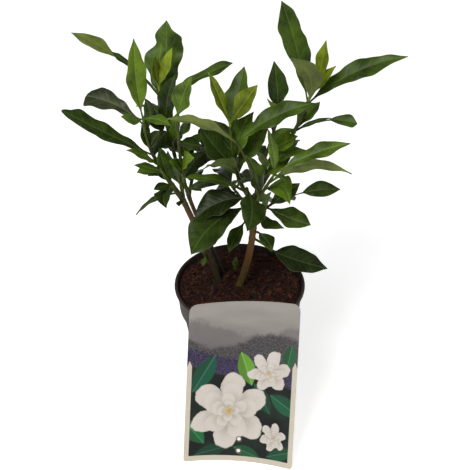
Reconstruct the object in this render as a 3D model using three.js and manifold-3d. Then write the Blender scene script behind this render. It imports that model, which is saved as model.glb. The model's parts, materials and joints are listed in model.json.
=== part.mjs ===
// Potted gardenia in its nursery pot, with its picture label leaning on the rim.
// Millimetres, +Z up, -Y to the front. The origin is the middle of the pot's flat bottom.
import * as THREE from 'three';
import { mergeVertices } from 'three/addons/utils/BufferGeometryUtils.js';
import Module from 'manifold-3d';

const wasm = await Module();
wasm.setup();

// ---------- driving dimensions ----------
const CLEARANCE = 0.3; // between pieces that touch

const POT_HEIGHT = 112;
const RIM_RADIUS = 65;
const RIM_LIP = 2.6; // height of the rolled lip
const LIP_ROUND = 0.8;
const LIP_BEVEL = 1.5; // depth over which the lip narrows to the wall, inside
const BAND_TOP_RADIUS = 62.6;
const BAND_BOTTOM_RADIUS = 60.4;
const BAND_BOTTOM = 84;
const BAND_STEP = 1.5; // height of the slope under the band
const BODY_TOP_RADIUS = 57.4;
const BASE_RADIUS = 45;
const BASE_BEVEL = 1;
const POT_WALL = 1.3;
const POT_SIDES = 32;
const DRAIN_HOLES = 8;
const DRAIN_HOLE_RADIUS = 4;
const DRAIN_CIRCLE_RADIUS = 31;
const PUNCH_LENGTH = 8; // of the tool that cuts a hole through a wall or a sheet
const PUNCH_SIDES = 10;

const SOIL_LEVEL = 109;
const SOIL_SIDES = 20;
const SOIL_RINGS = [1, 0.78, 0.52, 0.26, 0]; // shares of the radius
const SOIL_INSET = 0.5; // added to the clearance at the top
const SOIL_WAVE = 1.1; // height of the uneven surface
const HOLE_DEPTH = 24; // how far each stem stands down into the soil

const LABEL_WIDTH = 104;
const LABEL_LENGTH = 154;
const LABEL_THICKNESS = 0.9;
const LABEL_CORNER = 7;
const LABEL_BOW = 6; // the side edges stand this far in front of the middle
const LABEL_YAW = -5.4; // degrees, left edge nearer to the pot
const LABEL_TWIST = 6; // degrees that the sheet turns back from its foot to its top
const LABEL_FOOT = 132.5; // from the pot's axis to the foot, on the ground
const LABEL_SHIFT = 10.5; // sideways, to the right
const LABEL_HOLE_RADIUS = 1.8;
const LABEL_HOLES = [10, 21.5]; // heights along the sheet
const LABEL_COLUMNS = [-1, -0.97, -0.9, -0.6, -0.3, 0, 0.3, 0.6, 0.9, 0.97, 1]; // closest at the corners
const LABEL_ROWS = 4;

const BLADE = 0.8; // leaf thickness
const STALK = 8; // % of a leaf's length that is its stalk
const STALK_RADIUS = 0.8;
const STALK_EXTRA = 0.7; // added thickness at the foot of the stalk
const STALK_FADE = 0.15; // share of the leaf over which it fades
const ROOT = 1.2; // how far a stalk starts inside its stem
const TIP_HALF_WIDTH = 0.4;
const BASE_TAPER = 1.2; // power of the sine that widens the leaf from its stalk
const TIP_TAPER = 1; // power of the sine that narrows it to its tip
const FOLD = 0.32; // rise of the edges over the midrib, per half width
const CURL = 0.12; // edges rolled back down, per half width
const RIPPLE = 0.05; // edge ripple, per width
const RIPPLES = 3;
const STATION_LENGTH = 13; // one facet along a leaf
const MOST_STATIONS = 7;
const FEWEST_STATIONS = 3;
const STEM_SIDES = 6;
const STEM_STEP = 16; // length of one straight stretch of a bent stem
const BUD_LENGTH = 7;
const BUD_PROFILE = [[0, 0], [0.9, 0], [1, 0.3], [0.6, 0.7], [0, 1]]; // shares of the radius and the length

// ---------- the plant ----------
// A shoot grows from its parent at the share `at` of the parent's length, or from its foot on the soil, and
// bends through three more points. A shoot's tip is a piece of its own, a bud with its young leaves.
// A leaf is [tone, share of the shoot or bud, compass heading, rise, length, width, widest at %, roll, arch,
// sweep, twist, stalk %], with angles in degrees, lengths in millimetres and a stalk of STALK unless it is
// given. Its tone names its green, from deep to lime. The heading turns from +X towards +Y. Arch lifts the
// middle of the leaf out of its own plane, and sweep bends it sideways.
const SHOOTS = [
  {
    "name": "main_stem", "foot": [-1, -3], "radii": [3.6, 2.9], "bark": "brown",
    "path": [[9, 2, 136], [15, 0, 174], [13, 2, 213]],
    "leaves": []
  },
  {
    "name": "left_stem", "foot": [-20, 4], "radii": [3.2, 2.6], "bark": "brown",
    "path": [[-31, 12, 144], [-45, 11, 178], [-56, 8, 213]],
    "leaves": []
  },
  {
    "name": "thin_stem", "foot": [-15, 13], "radii": [2.5, 1.9], "bark": "brown",
    "path": [[-28, 21, 142], [-42, 19, 175], [-50, 16, 210]],
    "leaves": []
  },
  {
    "name": "sucker", "foot": [-4, 22], "radii": [2.0, 1.4], "bark": "bright",
    "path": [[-4, 22, 113], [-5, 22, 116], [-5, 21, 119]],
    "leaves": [
      ["mid", 0.40, 262, 74, 12, 7, 50, 0, 0, 0, 0],
      ["mid", 0.40, 80, 70, 11, 6, 50, 0, 0, 0, 0]
    ]
  },
  {
    "name": "low_leaf_left", "parent": "main_stem", "at": 0.70, "radii": [1.2, 1.0], "bark": "green",
    "path": [[9, 1, 183], [6, 0, 186], [4, -1, 187]],
    "leaves": [
      ["mid", 0.90, 235, -37, 33, 15, 50, 0, 1, 1, 0]
    ]
  },
  {
    "name": "low_leaf_back", "parent": "main_stem", "at": 0.66, "radii": [1.2, 1.0], "bark": "green",
    "path": [[15, -1, 176], [16, -2, 176], [18, -3, 176]],
    "leaves": [
      ["mid", 0.90, 306, -19, 24, 16, 45, -5, 1, -1, 0]
    ]
  },
  {
    "name": "low_leaf_right", "parent": "main_stem", "at": 0.60, "radii": [1.3, 1.1], "bark": "green",
    "path": [[21, 0, 162], [26, -3, 160], [31, -5, 155]],
    "leaves": [
      ["deep", 0.95, 357, -20, 59, 26, 38, 28, -1, 1, 0]
    ]
  },
  {
    "name": "left_outer", "parent": "left_stem", "at": 0.97, "radii": [2.0, 1.3], "bark": "green",
    "path": [[-68, 2, 237], [-83, -4, 261], [-85, -10, 302]],
    "leaves": [
      ["old", 0.64, 188, 34, 93, 20, 62, -22, 0, -1, 0],
      ["bright", 0.50, 235, 42, 57, 11, 50, -42, 1, 1, 0],
      ["sheen", 0.96, 158, 18, 59, 23, 82, -22, 3, 4, 0],
      ["old", 0.90, 93, 27, 36, 14, 55, -47, -3, 3, 0],
      ["old", 0.60, 55, 42, 28, 18, 50, -7, 2, -3, 0],
      ["mid", 0.42, 203, 10, 25, 16, 50, -13, 1, 1, 0],
      ["mid", 0.32, 181, 5, 18, 14, 50, -8, 3, 3, 0],
      ["deep", 0.72, 311, 57, 31, 13, 50, 78, 1, -1, 0],
      ["mid", 0.20, 224, 74, 49, 18, 50, -90, -1, -2, 0],
      ["old", 0.70, 132, 73, 30, 12, 50, 3, -1, -2, 0]
    ]
  },
  {
    "name": "left_outer_tip", "tip_of": "left_outer", "kind": "bright",
    "leaves": [
      ["bright", 0.60, 110, 78, 69, 21, 46, 20, -1, -2, 0],
      ["fresh", 0.30, 232, 28, 30, 10, 55, -49, -1, -2, 0],
      ["fresh", 0.20, 316, 13, 37, 10, 50, 27, 1, -2, 0]
    ]
  },
  {
    "name": "left_back", "parent": "left_stem", "at": 0.93, "radii": [2.0, 1.3], "bark": "green",
    "path": [[-55, 16, 235], [-69, 28, 271], [-73, 34, 309]],
    "leaves": [
      ["mid", 0.86, 83, 63, 78, 38, 55, -17, -1, 1, 0],
      ["under", 0.95, 173, 37, 97, 16, 50, -16, 4, 4, 0, 52],
      ["old", 0.60, 10, 83, 66, 20, 55, 45, 3, -5, 0],
      ["old", 0.72, 220, 25, 24, 22, 50, -37, 0, 1, 0],
      ["mid", 0.50, 195, 32, 27, 20, 50, -29, 3, 3, 0],
      ["old", 0.70, 128, -2, 52, 20, 52, 10, 6, 3, 0],
      ["deep", 0.45, 100, -12, 50, 22, 55, -8, 6, 2, 0],
      ["fresh", 0.55, 313, 72, 41, 14, 50, 90, 0, 0, 0],
      ["mid", 0.94, 352, 31, 77, 15, 80, 16, 1, -1, 10],
      ["old", 0.93, 173, 46, 62, 8, 72, -14, 2, 2, 0],
      ["old", 0.14, 147, 67, 38, 15, 50, -89, 1, -1, 0]
    ]
  },
  {
    "name": "left_back_tip", "tip_of": "left_back", "kind": "lime",
    "leaves": [
      ["lime", 0.40, 338, 70, 43, 12, 50, 70, 0, 0, 0],
      ["lime", 0.30, 164, 84, 31, 10, 50, -25, -1, -1, 0],
      ["bright", 0.30, 68, 75, 41, 6, 50, -17, 1, -1, 0]
    ]
  },
  {
    "name": "left_front", "parent": "thin_stem", "at": 0.97, "radii": [1.8, 1.3], "bark": "green",
    "path": [[-55, 6, 237], [-55, -6, 275], [-55, -12, 305]],
    "leaves": [
      ["fresh", 0.55, 36, 31, 30, 15, 50, 3, 0, 0, 0],
      ["old", 0.22, 40, 38, 34, 24, 50, 3, 2, -2, 0],
      ["bright", 0.38, 294, 44, 43, 16, 55, 71, 2, -2, 0],
      ["old", 0.10, 319, 16, 21, 9, 55, 7, 1, -1, 0],
      ["old", 0.72, 12, -18, 22, 16, 50, 19, 1, 1, 0],
      ["fresh", 0.30, 243, 51, 36, 14, 50, -65, 1, 1, 0],
      ["old", 0.06, 318, 32, 50, 11, 50, 44, 2, -3, 0],
      ["mid", 0.80, 46, 43, 19, 11, 50, 3, -1, 2, 0]
    ]
  },
  {
    "name": "left_front_tip", "tip_of": "left_front", "kind": "bright",
    "leaves": [
      ["fresh", 0.10, 34, 66, 39, 22, 42, 10, 1, -1, 0]
    ]
  },
  {
    "name": "left_low", "parent": "left_stem", "at": 0.88, "radii": [1.6, 1.1], "bark": "green",
    "path": [[-61, 0, 221], [-67, -8, 240], [-72, -14, 256]],
    "leaves": [
      ["mid", 0.90, 203, 28, 29, 12, 50, -18, 0, 0, 0],
      ["old", 0.50, 264, -6, 31, 18, 35, 17, 2, 4, 0],
      ["old", 0.30, 190, -27, 44, 9, 50, 2, 4, 2, 0],
      ["mid", 0.12, 260, 6, 12, 8, 50, 15, 0, 0, 0],
      ["old", 0.55, 232, 15, 23, 10, 50, -27, 0, 0, 0]
    ]
  },
  {
    "name": "left_twig", "parent": "left_stem", "at": 0.22, "radii": [1.1, 0.9], "bark": "green",
    "path": [[-31, 8, 132], [-34, 5, 141], [-37, 3, 150]],
    "leaves": [
      ["mid", 0.60, 251, -31, 10, 8, 50, 25, 0, 0, 0],
      ["mid", 1.00, 236, 65, 14, 6, 50, -73, 1, 0, 0]
    ]
  },
  {
    "name": "back_left", "parent": "thin_stem", "at": 0.93, "radii": [1.7, 1.2], "bark": "green",
    "path": [[-48, 26, 217], [-41, 42, 224], [-35, 54, 236]],
    "leaves": [
      ["deep", 0.97, 68, 26, 34, 20, 50, -19, 3, -1, 0],
      ["deep", 0.95, 137, -9, 51, 18, 50, 11, -1, 0, 0],
      ["deep", 0.80, 95, -14, 47, 22, 50, 12, 1, 2, 0],
      ["deep", 0.60, 125, -2, 56, 22, 50, 2, 7, 1, 0],
      ["deep", 0.50, 61, -5, 50, 22, 50, 5, 6, -1, 0],
      ["deep", 0.30, 84, -20, 52, 22, 50, -10, 2, -2, 0]
    ]
  },
  {
    "name": "middle_top", "parent": "main_stem", "at": 0.95, "radii": [2.1, 1.4], "bark": "green",
    "path": [[-2, -4, 229], [-8, -8, 261], [-9, -10, 297]],
    "leaves": [
      ["mid", 0.94, 71, 51, 60, 24, 50, -16, 0, 0, 0],
      ["old", 0.55, 162, 47, 49, 26, 50, -22, -1, -1, 0],
      ["mid", 0.40, 221, 32, 53, 22, 45, 45, 9, -5, 0],
      ["mid", 0.50, 41, 40, 51, 22, 50, 6, 2, -2, 0],
      ["old", 0.30, 250, 30, 32, 13, 50, 26, 5, -4, 0],
      ["old", 0.70, 110, 5, 51, 20, 50, 10, 4, 1, 0],
      ["mid", 0.40, 101, -7, 56, 20, 50, 14, 5, -2, 0],
      ["fresh", 0.60, 40, 64, 51, 22, 50, 11, 2, -4, 0],
      ["mid", 0.75, 160, 57, 33, 12, 50, -14, 3, 3, 0]
    ]
  },
  {
    "name": "middle_top_tip", "tip_of": "middle_top", "kind": "lime",
    "leaves": [
      ["lime", 0.30, 9, 56, 43, 20, 50, 31, 0, 0, 0],
      ["lime", 0.20, 163, 68, 51, 13, 50, -24, 0, 0, 0]
    ]
  },
  {
    "name": "crown", "parent": "main_stem", "at": 0.86, "radii": [1.9, 1.5], "bark": "green",
    "path": [[9, -4, 209], [7, -10, 221], [6, -14, 235]],
    "leaves": [
      ["old", 0.27, 224, -12, 78, 33, 68, -14, 4, 8, 0],
      ["deep", 0.60, 193, -18, 55, 30, 50, -20, 4, 6, 0],
      ["old", 0.96, 270, -19, 47, 27, 50, -31, 2, -4, 0],
      ["fresh", 0.80, 188, 21, 63, 13, 50, -7, 4, 3, 0]
    ]
  },
  {
    "name": "right_top", "parent": "main_stem", "at": 0.975, "radii": [2.2, 1.4], "bark": "green",
    "path": [[22, 10, 230], [48, 16, 265], [62, 22, 307]],
    "leaves": [
      ["mid", 0.97, 129, 65, 93, 25, 66, -7, 1, 2, 0],
      ["under", 0.95, 239, 62, 70, 23, 66, 12, 5, -9, 0],
      ["mid", 0.95, 356, 31, 100, 20, 58, 27, 5, -6, 0],
      ["mid", 0.74, 43, 28, 38, 18, 60, -3, 1, -1, 0],
      ["mid", 0.74, 348, 15, 59, 13, 80, 7, 5, -4, 30, 55],
      ["old", 0.84, 85, -16, 38, 17, 50, 12, 4, -1, 0],
      ["old", 0.45, 53, 7, 41, 18, 50, -10, 4, -2, 0],
      ["old", 0.73, 348, 30, 39, 5, 50, 30, 1, -2, 0]
    ]
  },
  {
    "name": "right_top_tip", "tip_of": "right_top", "kind": "lime",
    "leaves": [
      ["lime", 0.40, 26, 76, 52, 13, 60, 26, -1, 2, 0],
      ["lime", 0.20, 344, 57, 39, 11, 60, 33, 0, 0, 0]
    ]
  },
  {
    "name": "right_front", "parent": "main_stem", "at": 0.90, "radii": [1.9, 1.3], "bark": "green",
    "path": [[20, -10, 228], [24, -20, 241], [29, -26, 255]],
    "leaves": [
      ["under", 0.62, 352, 15, 79, 18, 50, -71, 10, 8, 0],
      ["fresh", 0.40, 323, -1, 31, 24, 45, 13, 7, -10, 0],
      ["fresh", 0.15, 228, 74, 61, 18, 50, -90, 3, 4, 0]
    ]
  },
  {
    "name": "middle_slim", "parent": "right_front", "at": 0.28, "radii": [1.3, 1.0], "bark": "green",
    "path": [[16, -24, 248], [6, -28, 274], [-4, -28, 293]],
    "leaves": [
      ["mid", 0.97, 2, 30, 76, 22, 52, 23, 3, -4, 0],
      ["under", 0.95, 175, 19, 67, 16, 50, 64, 5, -4, 0]
    ]
  },
  {
    "name": "right_front_tip", "tip_of": "right_front", "kind": "bright",
    "leaves": [
      ["fresh", 0.40, 5, 23, 72, 17, 62, 17, 2, -3, 0],
      ["fresh", 0.40, 132, 77, 43, 11, 45, -3, 1, 1, 0],
      ["mid", 0.20, 295, 16, 22, 7, 50, -1, 1, -1, 0]
    ]
  },
  {
    "name": "right_mid", "parent": "right_top", "at": 0.14, "radii": [1.7, 1.2], "bark": "green",
    "path": [[20, -2, 238], [25, -2, 257], [32, -4, 271]],
    "leaves": [
      ["bright", 0.95, 342, 42, 28, 16, 50, 35, 0, 0, 0],
      ["fresh", 0.60, 353, 28, 39, 16, 50, 15, 2, -2, 0],
      ["bright", 0.35, 17, 41, 37, 18, 50, 18, -1, 2, 0],
      ["mid", 0.45, 250, 62, 36, 13, 50, -20, 1, 0, 0],
      ["fresh", 0.85, 13, 46, 32, 12, 50, 20, 4, -6, 0]
    ]
  },
  {
    "name": "right_back", "parent": "main_stem", "at": 0.93, "radii": [1.8, 1.2], "bark": "green",
    "path": [[17, 34, 221], [33, 56, 249], [39, 62, 277]],
    "leaves": [
      ["old", 0.88, 102, 66, 53, 21, 50, 13, 0, 1, 0],
      ["old", 0.90, 62, -20, 40, 18, 50, 0, 4, 0, 0],
      ["old", 0.80, 125, -24, 42, 18, 50, -10, 4, -2, 0],
      ["old", 0.70, 82, -9, 60, 22, 50, -12, 8, -1, 0],
      ["old", 0.50, 53, -8, 50, 20, 50, 6, 5, -2, 0],
      ["old", 0.38, 112, -9, 58, 20, 50, 14, 7, 4, 0]
    ]
  },
  {
    "name": "right_back_tip", "tip_of": "right_back", "kind": "lime",
    "leaves": [
      ["lime", 0.30, 211, 29, 19, 6, 50, -61, -1, -5, 0]
    ]
  },
  {
    "name": "right_low", "parent": "main_stem", "at": 0.78, "radii": [1.6, 1.1], "bark": "green",
    "path": [[21, -8, 206], [26, -12, 213], [32, -14, 219]],
    "leaves": [
      ["mid", 0.60, 339, -12, 44, 24, 62, 14, -1, 1, 0],
      ["mid", 0.40, 308, -4, 31, 16, 50, -1, -5, 5, 0],
      ["old", 0.97, 4, 11, 62, 17, 50, 25, 2, -3, 0, 44],
      ["mid", 0.60, 56, -18, 54, 18, 50, 10, 5, 1, 0],
      ["mid", 0.25, 296, 61, 43, 9, 50, 90, 0, 0, 0],
      ["mid", 0.80, 28, 25, 34, 14, 50, 45, 0, 0, 0]
    ]
  },
  {
    "name": "back_low", "parent": "main_stem", "at": 0.82, "radii": [1.7, 1.2], "bark": "green",
    "path": [[6, 18, 194], [0, 34, 193], [-8, 50, 194]],
    "leaves": [
      ["old", 0.97, 108, -14, 56, 20, 50, -10, 8, 2, 0],
      ["old", 0.90, 60, -17, 58, 22, 50, 8, 7, 1, 0],
      ["old", 0.75, 130, -34, 50, 20, 50, -20, 8, -2, 0],
      ["old", 0.45, 48, -28, 54, 18, 50, 20, 6, 0, 0]
    ]
  }
];
// ---------- end of the plant ----------

// ---------- colours ----------
const finish = (name, color, roughness) => new THREE.MeshStandardMaterial({
  name, color, roughness, metalness: 0,
});

const MATERIALS = {
  pot: finish('pot', 0x6a635a, 0.55),
  soil: finish('soil', 0x34201a, 1),
  label: finish('label', 0xd2cac0, 0.4),
  brown: finish('brown', 0x4f3c1b, 0.85),
  green: finish('green', 0x34481c, 0.4),
  bright: finish('bright', 0x53691a, 0.35),
  lime: finish('lime', 0x69761a, 0.35),
};

// ---------- solids ----------
function solidOf(geometry) {
  const bare = new THREE.BufferGeometry();
  bare.setAttribute('position', geometry.getAttribute('position'));
  if (geometry.index) bare.setIndex(geometry.index);
  const merged = mergeVertices(bare, 1e-4);
  return new wasm.Manifold(new wasm.Mesh({
    numProp: 3,
    vertProperties: merged.attributes.position.array,
    triVerts: new Uint32Array(merged.index.array),
  }));
}

function meshOf(solid, name, material) {
  const { vertProperties, triVerts } = solid.getMesh();
  const geometry = new THREE.BufferGeometry();
  geometry.setAttribute('position', new THREE.BufferAttribute(vertProperties, 3));
  geometry.setIndex(new THREE.BufferAttribute(triVerts, 1));
  geometry.computeVertexNormals();
  const mesh = new THREE.Mesh(geometry, material);
  mesh.name = name;
  return mesh;
}

function fused(solids) {
  return solids.reduce((whole, solid) => whole.add(solid));
}

// The tool that cuts a round hole. Its axis lies along Y.
function punchGeometry(radius) {
  return new THREE.CylinderGeometry(radius, radius, PUNCH_LENGTH, PUNCH_SIDES);
}

// A profile of [radius, height] points turned about its height, which lies along Y.
function turned(profile, sides) {
  return new THREE.LatheGeometry(profile.map(([r, h]) => new THREE.Vector2(r, h)), sides);
}

// A tube along a curve whose radius runs evenly from one end to the other.
function taperedTube(curve, startRadius, endRadius) {
  const steps = Math.max(2, Math.round(curve.getLength() / STEM_STEP));
  const circle = new THREE.EllipseCurve(0, 0, startRadius, startRadius);
  const section = new THREE.Shape(circle.getPoints(STEM_SIDES));
  const tube = new THREE.ExtrudeGeometry(section, { steps, extrudePath: curve, curveSegments: STEM_SIDES });
  const rings = curve.getSpacedPoints(steps);
  const position = tube.getAttribute('position');
  const point = new THREE.Vector3();
  for (let i = 0; i < position.count; i += 1) {
    point.fromBufferAttribute(position, i);
    const distances = rings.map((centre) => centre.distanceTo(point));
    const ring = distances.indexOf(Math.min(...distances));
    const scale = 1 + (endRadius / startRadius - 1) * (ring / steps);
    point.sub(rings[ring]).multiplyScalar(scale).add(rings[ring]);
    position.setXYZ(i, point.x, point.y, point.z);
  }
  return solidOf(tube);
}

// ---------- pot ----------
// The outer wall from the bottom up over the lip, then the inner wall back down to the floor.
function potSolid() {
  const profile = [
    [0, 0],
    [BASE_RADIUS - BASE_BEVEL, 0],
    [BASE_RADIUS, BASE_BEVEL],
    [BODY_TOP_RADIUS, BAND_BOTTOM - BAND_STEP],
    [BAND_BOTTOM_RADIUS, BAND_BOTTOM],
    [BAND_TOP_RADIUS, POT_HEIGHT - RIM_LIP],
    [RIM_RADIUS - LIP_ROUND, POT_HEIGHT - RIM_LIP],
    [RIM_RADIUS, POT_HEIGHT - RIM_LIP + LIP_ROUND],
    [RIM_RADIUS, POT_HEIGHT - LIP_ROUND],
    [RIM_RADIUS - LIP_ROUND, POT_HEIGHT],
    [BAND_TOP_RADIUS, POT_HEIGHT],
    [BAND_TOP_RADIUS - POT_WALL, POT_HEIGHT - LIP_BEVEL],
    ...innerWall(0),
    [0, POT_WALL],
  ];
  let pot = solidOf(turned(profile, POT_SIDES).rotateX(Math.PI / 2));
  for (let i = 0; i < DRAIN_HOLES; i += 1) {
    const angle = (i + 0.5) / DRAIN_HOLES * 2 * Math.PI;
    const hole = punchGeometry(DRAIN_HOLE_RADIUS)
      .rotateX(Math.PI / 2)
      .translate(DRAIN_CIRCLE_RADIUS * Math.cos(angle), DRAIN_CIRCLE_RADIUS * Math.sin(angle), 0);
    pot = pot.subtract(solidOf(hole));
  }
  return pot;
}

// The pot's inner wall from the band down to the floor, drawn in by a gap.
function innerWall(gap) {
  return [
    [BAND_BOTTOM_RADIUS - POT_WALL - gap, BAND_BOTTOM + POT_WALL],
    [BODY_TOP_RADIUS - POT_WALL - gap, BAND_BOTTOM - BAND_STEP],
    [BASE_RADIUS - POT_WALL - gap, POT_WALL + gap],
  ];
}

// ---------- soil ----------
function soilHeight(x, y) {
  const swells = Math.sin(x / 9 + 1) * Math.cos(y / 11);
  const ridges = Math.sin(x / 4.3 - y / 5.1);
  return SOIL_LEVEL + SOIL_WAVE * (swells + 0.5 * ridges);
}

function soilSolid(standing) {
  const edge = BAND_TOP_RADIUS - POT_WALL - CLEARANCE - SOIL_INSET;
  const profile = [
    [0, POT_WALL + CLEARANCE],
    ...innerWall(CLEARANCE).reverse(),
    ...SOIL_RINGS.map((share) => [share * edge, SOIL_LEVEL]),
  ];
  const lump = turned(profile, SOIL_SIDES).rotateX(Math.PI / 2);
  const position = lump.getAttribute('position');
  for (let i = 0; i < position.count; i += 1) {
    const [x, y, z] = [position.getX(i), position.getY(i), position.getZ(i)];
    if (z > SOIL_LEVEL - 1) position.setZ(i, soilHeight(x, y));
  }
  return standing.reduce((soil, hole) => soil.subtract(hole), solidOf(lump));
}

// ---------- label ----------
// A sheet whose foot stands on the ground and whose back leans on the front of the rim. `across` runs from
// -1 to 1 over the width, and `along` is the length from the foot.
function labelPoint(across, along) {
  const yaw = THREE.MathUtils.degToRad(LABEL_YAW);
  const forward = new THREE.Vector3(Math.sin(yaw), -Math.cos(yaw), 0);
  const right = new THREE.Vector3(Math.cos(yaw), Math.sin(yaw), 0);
  const lean = labelLean();
  const side = across * LABEL_WIDTH / 2 + LABEL_SHIFT;
  const twisted = side * Math.tan(THREE.MathUtils.degToRad(LABEL_TWIST)) * along / LABEL_LENGTH;
  const bow = LABEL_BOW * across * across;
  return forward.multiplyScalar(LABEL_FOOT - along * Math.sin(lean) + bow - twisted)
    .addScaledVector(right, side)
    .add(new THREE.Vector3(0, 0, along * Math.cos(lean)));
}

// The lean from upright that brings the back of the sheet to the shoulder of the lip.
function labelLean() {
  const reach = LABEL_FOOT - RIM_RADIUS - CLEARANCE - LABEL_THICKNESS;
  return Math.atan2(reach, POT_HEIGHT - LIP_ROUND);
}

function labelSolid() {
  const yaw = THREE.MathUtils.degToRad(LABEL_YAW);
  const back = new THREE.Vector3(-Math.sin(yaw), Math.cos(yaw), 0).multiplyScalar(LABEL_THICKNESS);
  const sheet = sheetGeometry(LABEL_COLUMNS.length, LABEL_ROWS + 1, (i, j) => {
    const across = LABEL_COLUMNS[i];
    const fromCorner = Math.max(0, Math.abs(across) * LABEL_WIDTH / 2 - (LABEL_WIDTH / 2 - LABEL_CORNER));
    const rounding = LABEL_CORNER - Math.sqrt(Math.max(0, LABEL_CORNER ** 2 - fromCorner ** 2));
    const front = labelPoint(across, (LABEL_LENGTH - rounding) * j / LABEL_ROWS);
    return [front, front.clone().add(back)];
  });
  return LABEL_HOLES.reduce((label, height) => {
    const centre = labelPoint(0, height);
    const punch = punchGeometry(LABEL_HOLE_RADIUS)
      .rotateX(labelLean())
      .rotateZ(yaw)
      .translate(centre.x, centre.y, centre.z);
    return label.subtract(solidOf(punch));
  }, solidOf(sheet));
}

// A closed sheet from a grid of point pairs. Across the columns, then along the rows, the first point of
// each pair faces the cross product of the two directions.
function sheetGeometry(columns, rows, pairAt) {
  const points = [];
  for (let j = 0; j < rows; j += 1) {
    for (let i = 0; i < columns; i += 1) points.push(...pairAt(i, j));
  }
  const face = (i, j) => 2 * (j * columns + i);
  const triangles = [];
  const quad = (a, b, c, d) => triangles.push(a, b, c, a, c, d);
  for (let j = 0; j + 1 < rows; j += 1) {
    for (let i = 0; i + 1 < columns; i += 1) {
      const [a, b, c, d] = [face(i, j), face(i + 1, j), face(i + 1, j + 1), face(i, j + 1)];
      quad(a, b, c, d);
      triangles.push(a + 1, c + 1, b + 1, a + 1, d + 1, c + 1);
    }
    quad(face(0, j), face(0, j + 1), face(0, j + 1) + 1, face(0, j) + 1);
    const edge = columns - 1;
    quad(face(edge, j) + 1, face(edge, j + 1) + 1, face(edge, j + 1), face(edge, j));
  }
  for (let i = 0; i + 1 < columns; i += 1) {
    quad(face(i, 0), face(i, 0) + 1, face(i + 1, 0) + 1, face(i + 1, 0));
    quad(face(i + 1, rows - 1), face(i + 1, rows - 1) + 1, face(i, rows - 1) + 1, face(i, rows - 1));
  }
  const geometry = new THREE.BufferGeometry();
  const places = points.flatMap((point) => point.toArray());
  geometry.setAttribute('position', new THREE.Float32BufferAttribute(places, 3));
  geometry.setIndex(triangles);
  return geometry;
}

// ---------- leaves ----------
// A leaf is a chord with a midrib arched over it. Its half width rises from the stalk to its widest place
// and falls to the tip, its halves fold up from the midrib, and its edges curl and ripple.
function leafSolid(root, leaf) {
  const [, , heading, rise, length, width, widest, roll, arch, sweep, twist, stalk = STALK] = leaf;
  const h = THREE.MathUtils.degToRad(heading);
  const r = THREE.MathUtils.degToRad(rise);
  const chord = new THREE.Vector3(Math.cos(r) * Math.cos(h), Math.cos(r) * Math.sin(h), Math.sin(r));
  const up = new THREE.Vector3(0, 0, 1).addScaledVector(chord, -chord.z).normalize();
  const side = new THREE.Vector3().crossVectors(chord, up);
  const rolled = (degrees) => {
    const angle = THREE.MathUtils.degToRad(degrees);
    return [
      side.clone().multiplyScalar(Math.cos(angle)).addScaledVector(up, -Math.sin(angle)),
      up.clone().multiplyScalar(Math.cos(angle)).addScaledVector(side, Math.sin(angle)),
    ];
  };
  const [bendSide, bendUp] = rolled(roll);
  const peak = widest / 100;
  const start = root.clone().addScaledVector(chord, -ROOT);
  const phase = heading / 57 + length;
  const wanted = Math.round(length / STATION_LENGTH);
  const stations = THREE.MathUtils.clamp(wanted, FEWEST_STATIONS, MOST_STATIONS);
  return solidOf(sheetGeometry(3, stations + 1, (i, j) => {
    const u = j / stations;
    const v = i - 1;
    const q = Math.max(0, (u - stalk / 100) / (1 - stalk / 100));
    const outline = q < peak
      ? Math.sin(Math.PI / 2 * q / peak) ** BASE_TAPER
      : Math.sin(Math.PI / 2 * (1 - q) / (1 - peak)) ** TIP_TAPER;
    const half = Math.max(width / 2 * outline, u < 0.5 ? STALK_RADIUS : TIP_HALF_WIDTH);
    const [across, normal] = rolled(roll + twist * u);
    const bend = 4 * u * (1 - u);
    const wave = Math.sin(2 * Math.PI * RIPPLES * u + phase + v) * Math.sin(Math.PI * u);
    const ripple = RIPPLE * width * v * v * wave;
    const lift = half * (FOLD * Math.abs(v) - CURL * v * v) + ripple;
    const thickness = BLADE + STALK_EXTRA * Math.max(0, 1 - u / STALK_FADE);
    const middle = start.clone()
      .addScaledVector(chord, (length + ROOT) * u)
      .addScaledVector(bendUp, arch * bend)
      .addScaledVector(bendSide, sweep * bend)
      .addScaledVector(across, v * half)
      .addScaledVector(normal, lift);
    return [
      middle.clone().addScaledVector(normal, thickness / 2),
      middle.clone().addScaledVector(normal, -thickness / 2),
    ];
  }));
}

// ---------- stems and shoots ----------
const vector = (point) => new THREE.Vector3(...point);

function curveOf(shoot, curves) {
  const foot = shoot.foot
    ? new THREE.Vector3(...shoot.foot, SOIL_LEVEL)
    : curves[shoot.parent].getPoint(shoot.at);
  return new THREE.CubicBezierCurve3(foot, ...shoot.path.map(vector));
}

// A stem that stands in the soil, with a straight root under its curve.
function standingTube(curve, radii, grow) {
  const [start, end] = radii;
  const foot = curve.getPoint(0);
  const root = new THREE.LineCurve3(
    foot.clone().addScaledVector(curve.getTangent(0), -HOLE_DEPTH - grow),
    foot.clone().addScaledVector(curve.getTangent(0), 1),
  );
  return fused([
    taperedTube(curve, start + grow, end + grow),
    taperedTube(root, start + grow, start + grow),
  ]);
}

// The bud that a shoot ends in: a short spindle, clear of the shoot's flat end.
function budSolid(curve, radius) {
  const profile = BUD_PROFILE.map(([r, share]) => [r * radius, share * BUD_LENGTH]);
  const end = curve.getPoint(1).addScaledVector(curve.getTangent(1), CLEARANCE);
  const along = new THREE.Quaternion().setFromUnitVectors(new THREE.Vector3(0, 1, 0), curve.getTangent(1));
  return solidOf(turned(profile, STEM_SIDES)
    .applyQuaternion(along)
    .translate(end.x, end.y, end.z));
}

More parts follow.
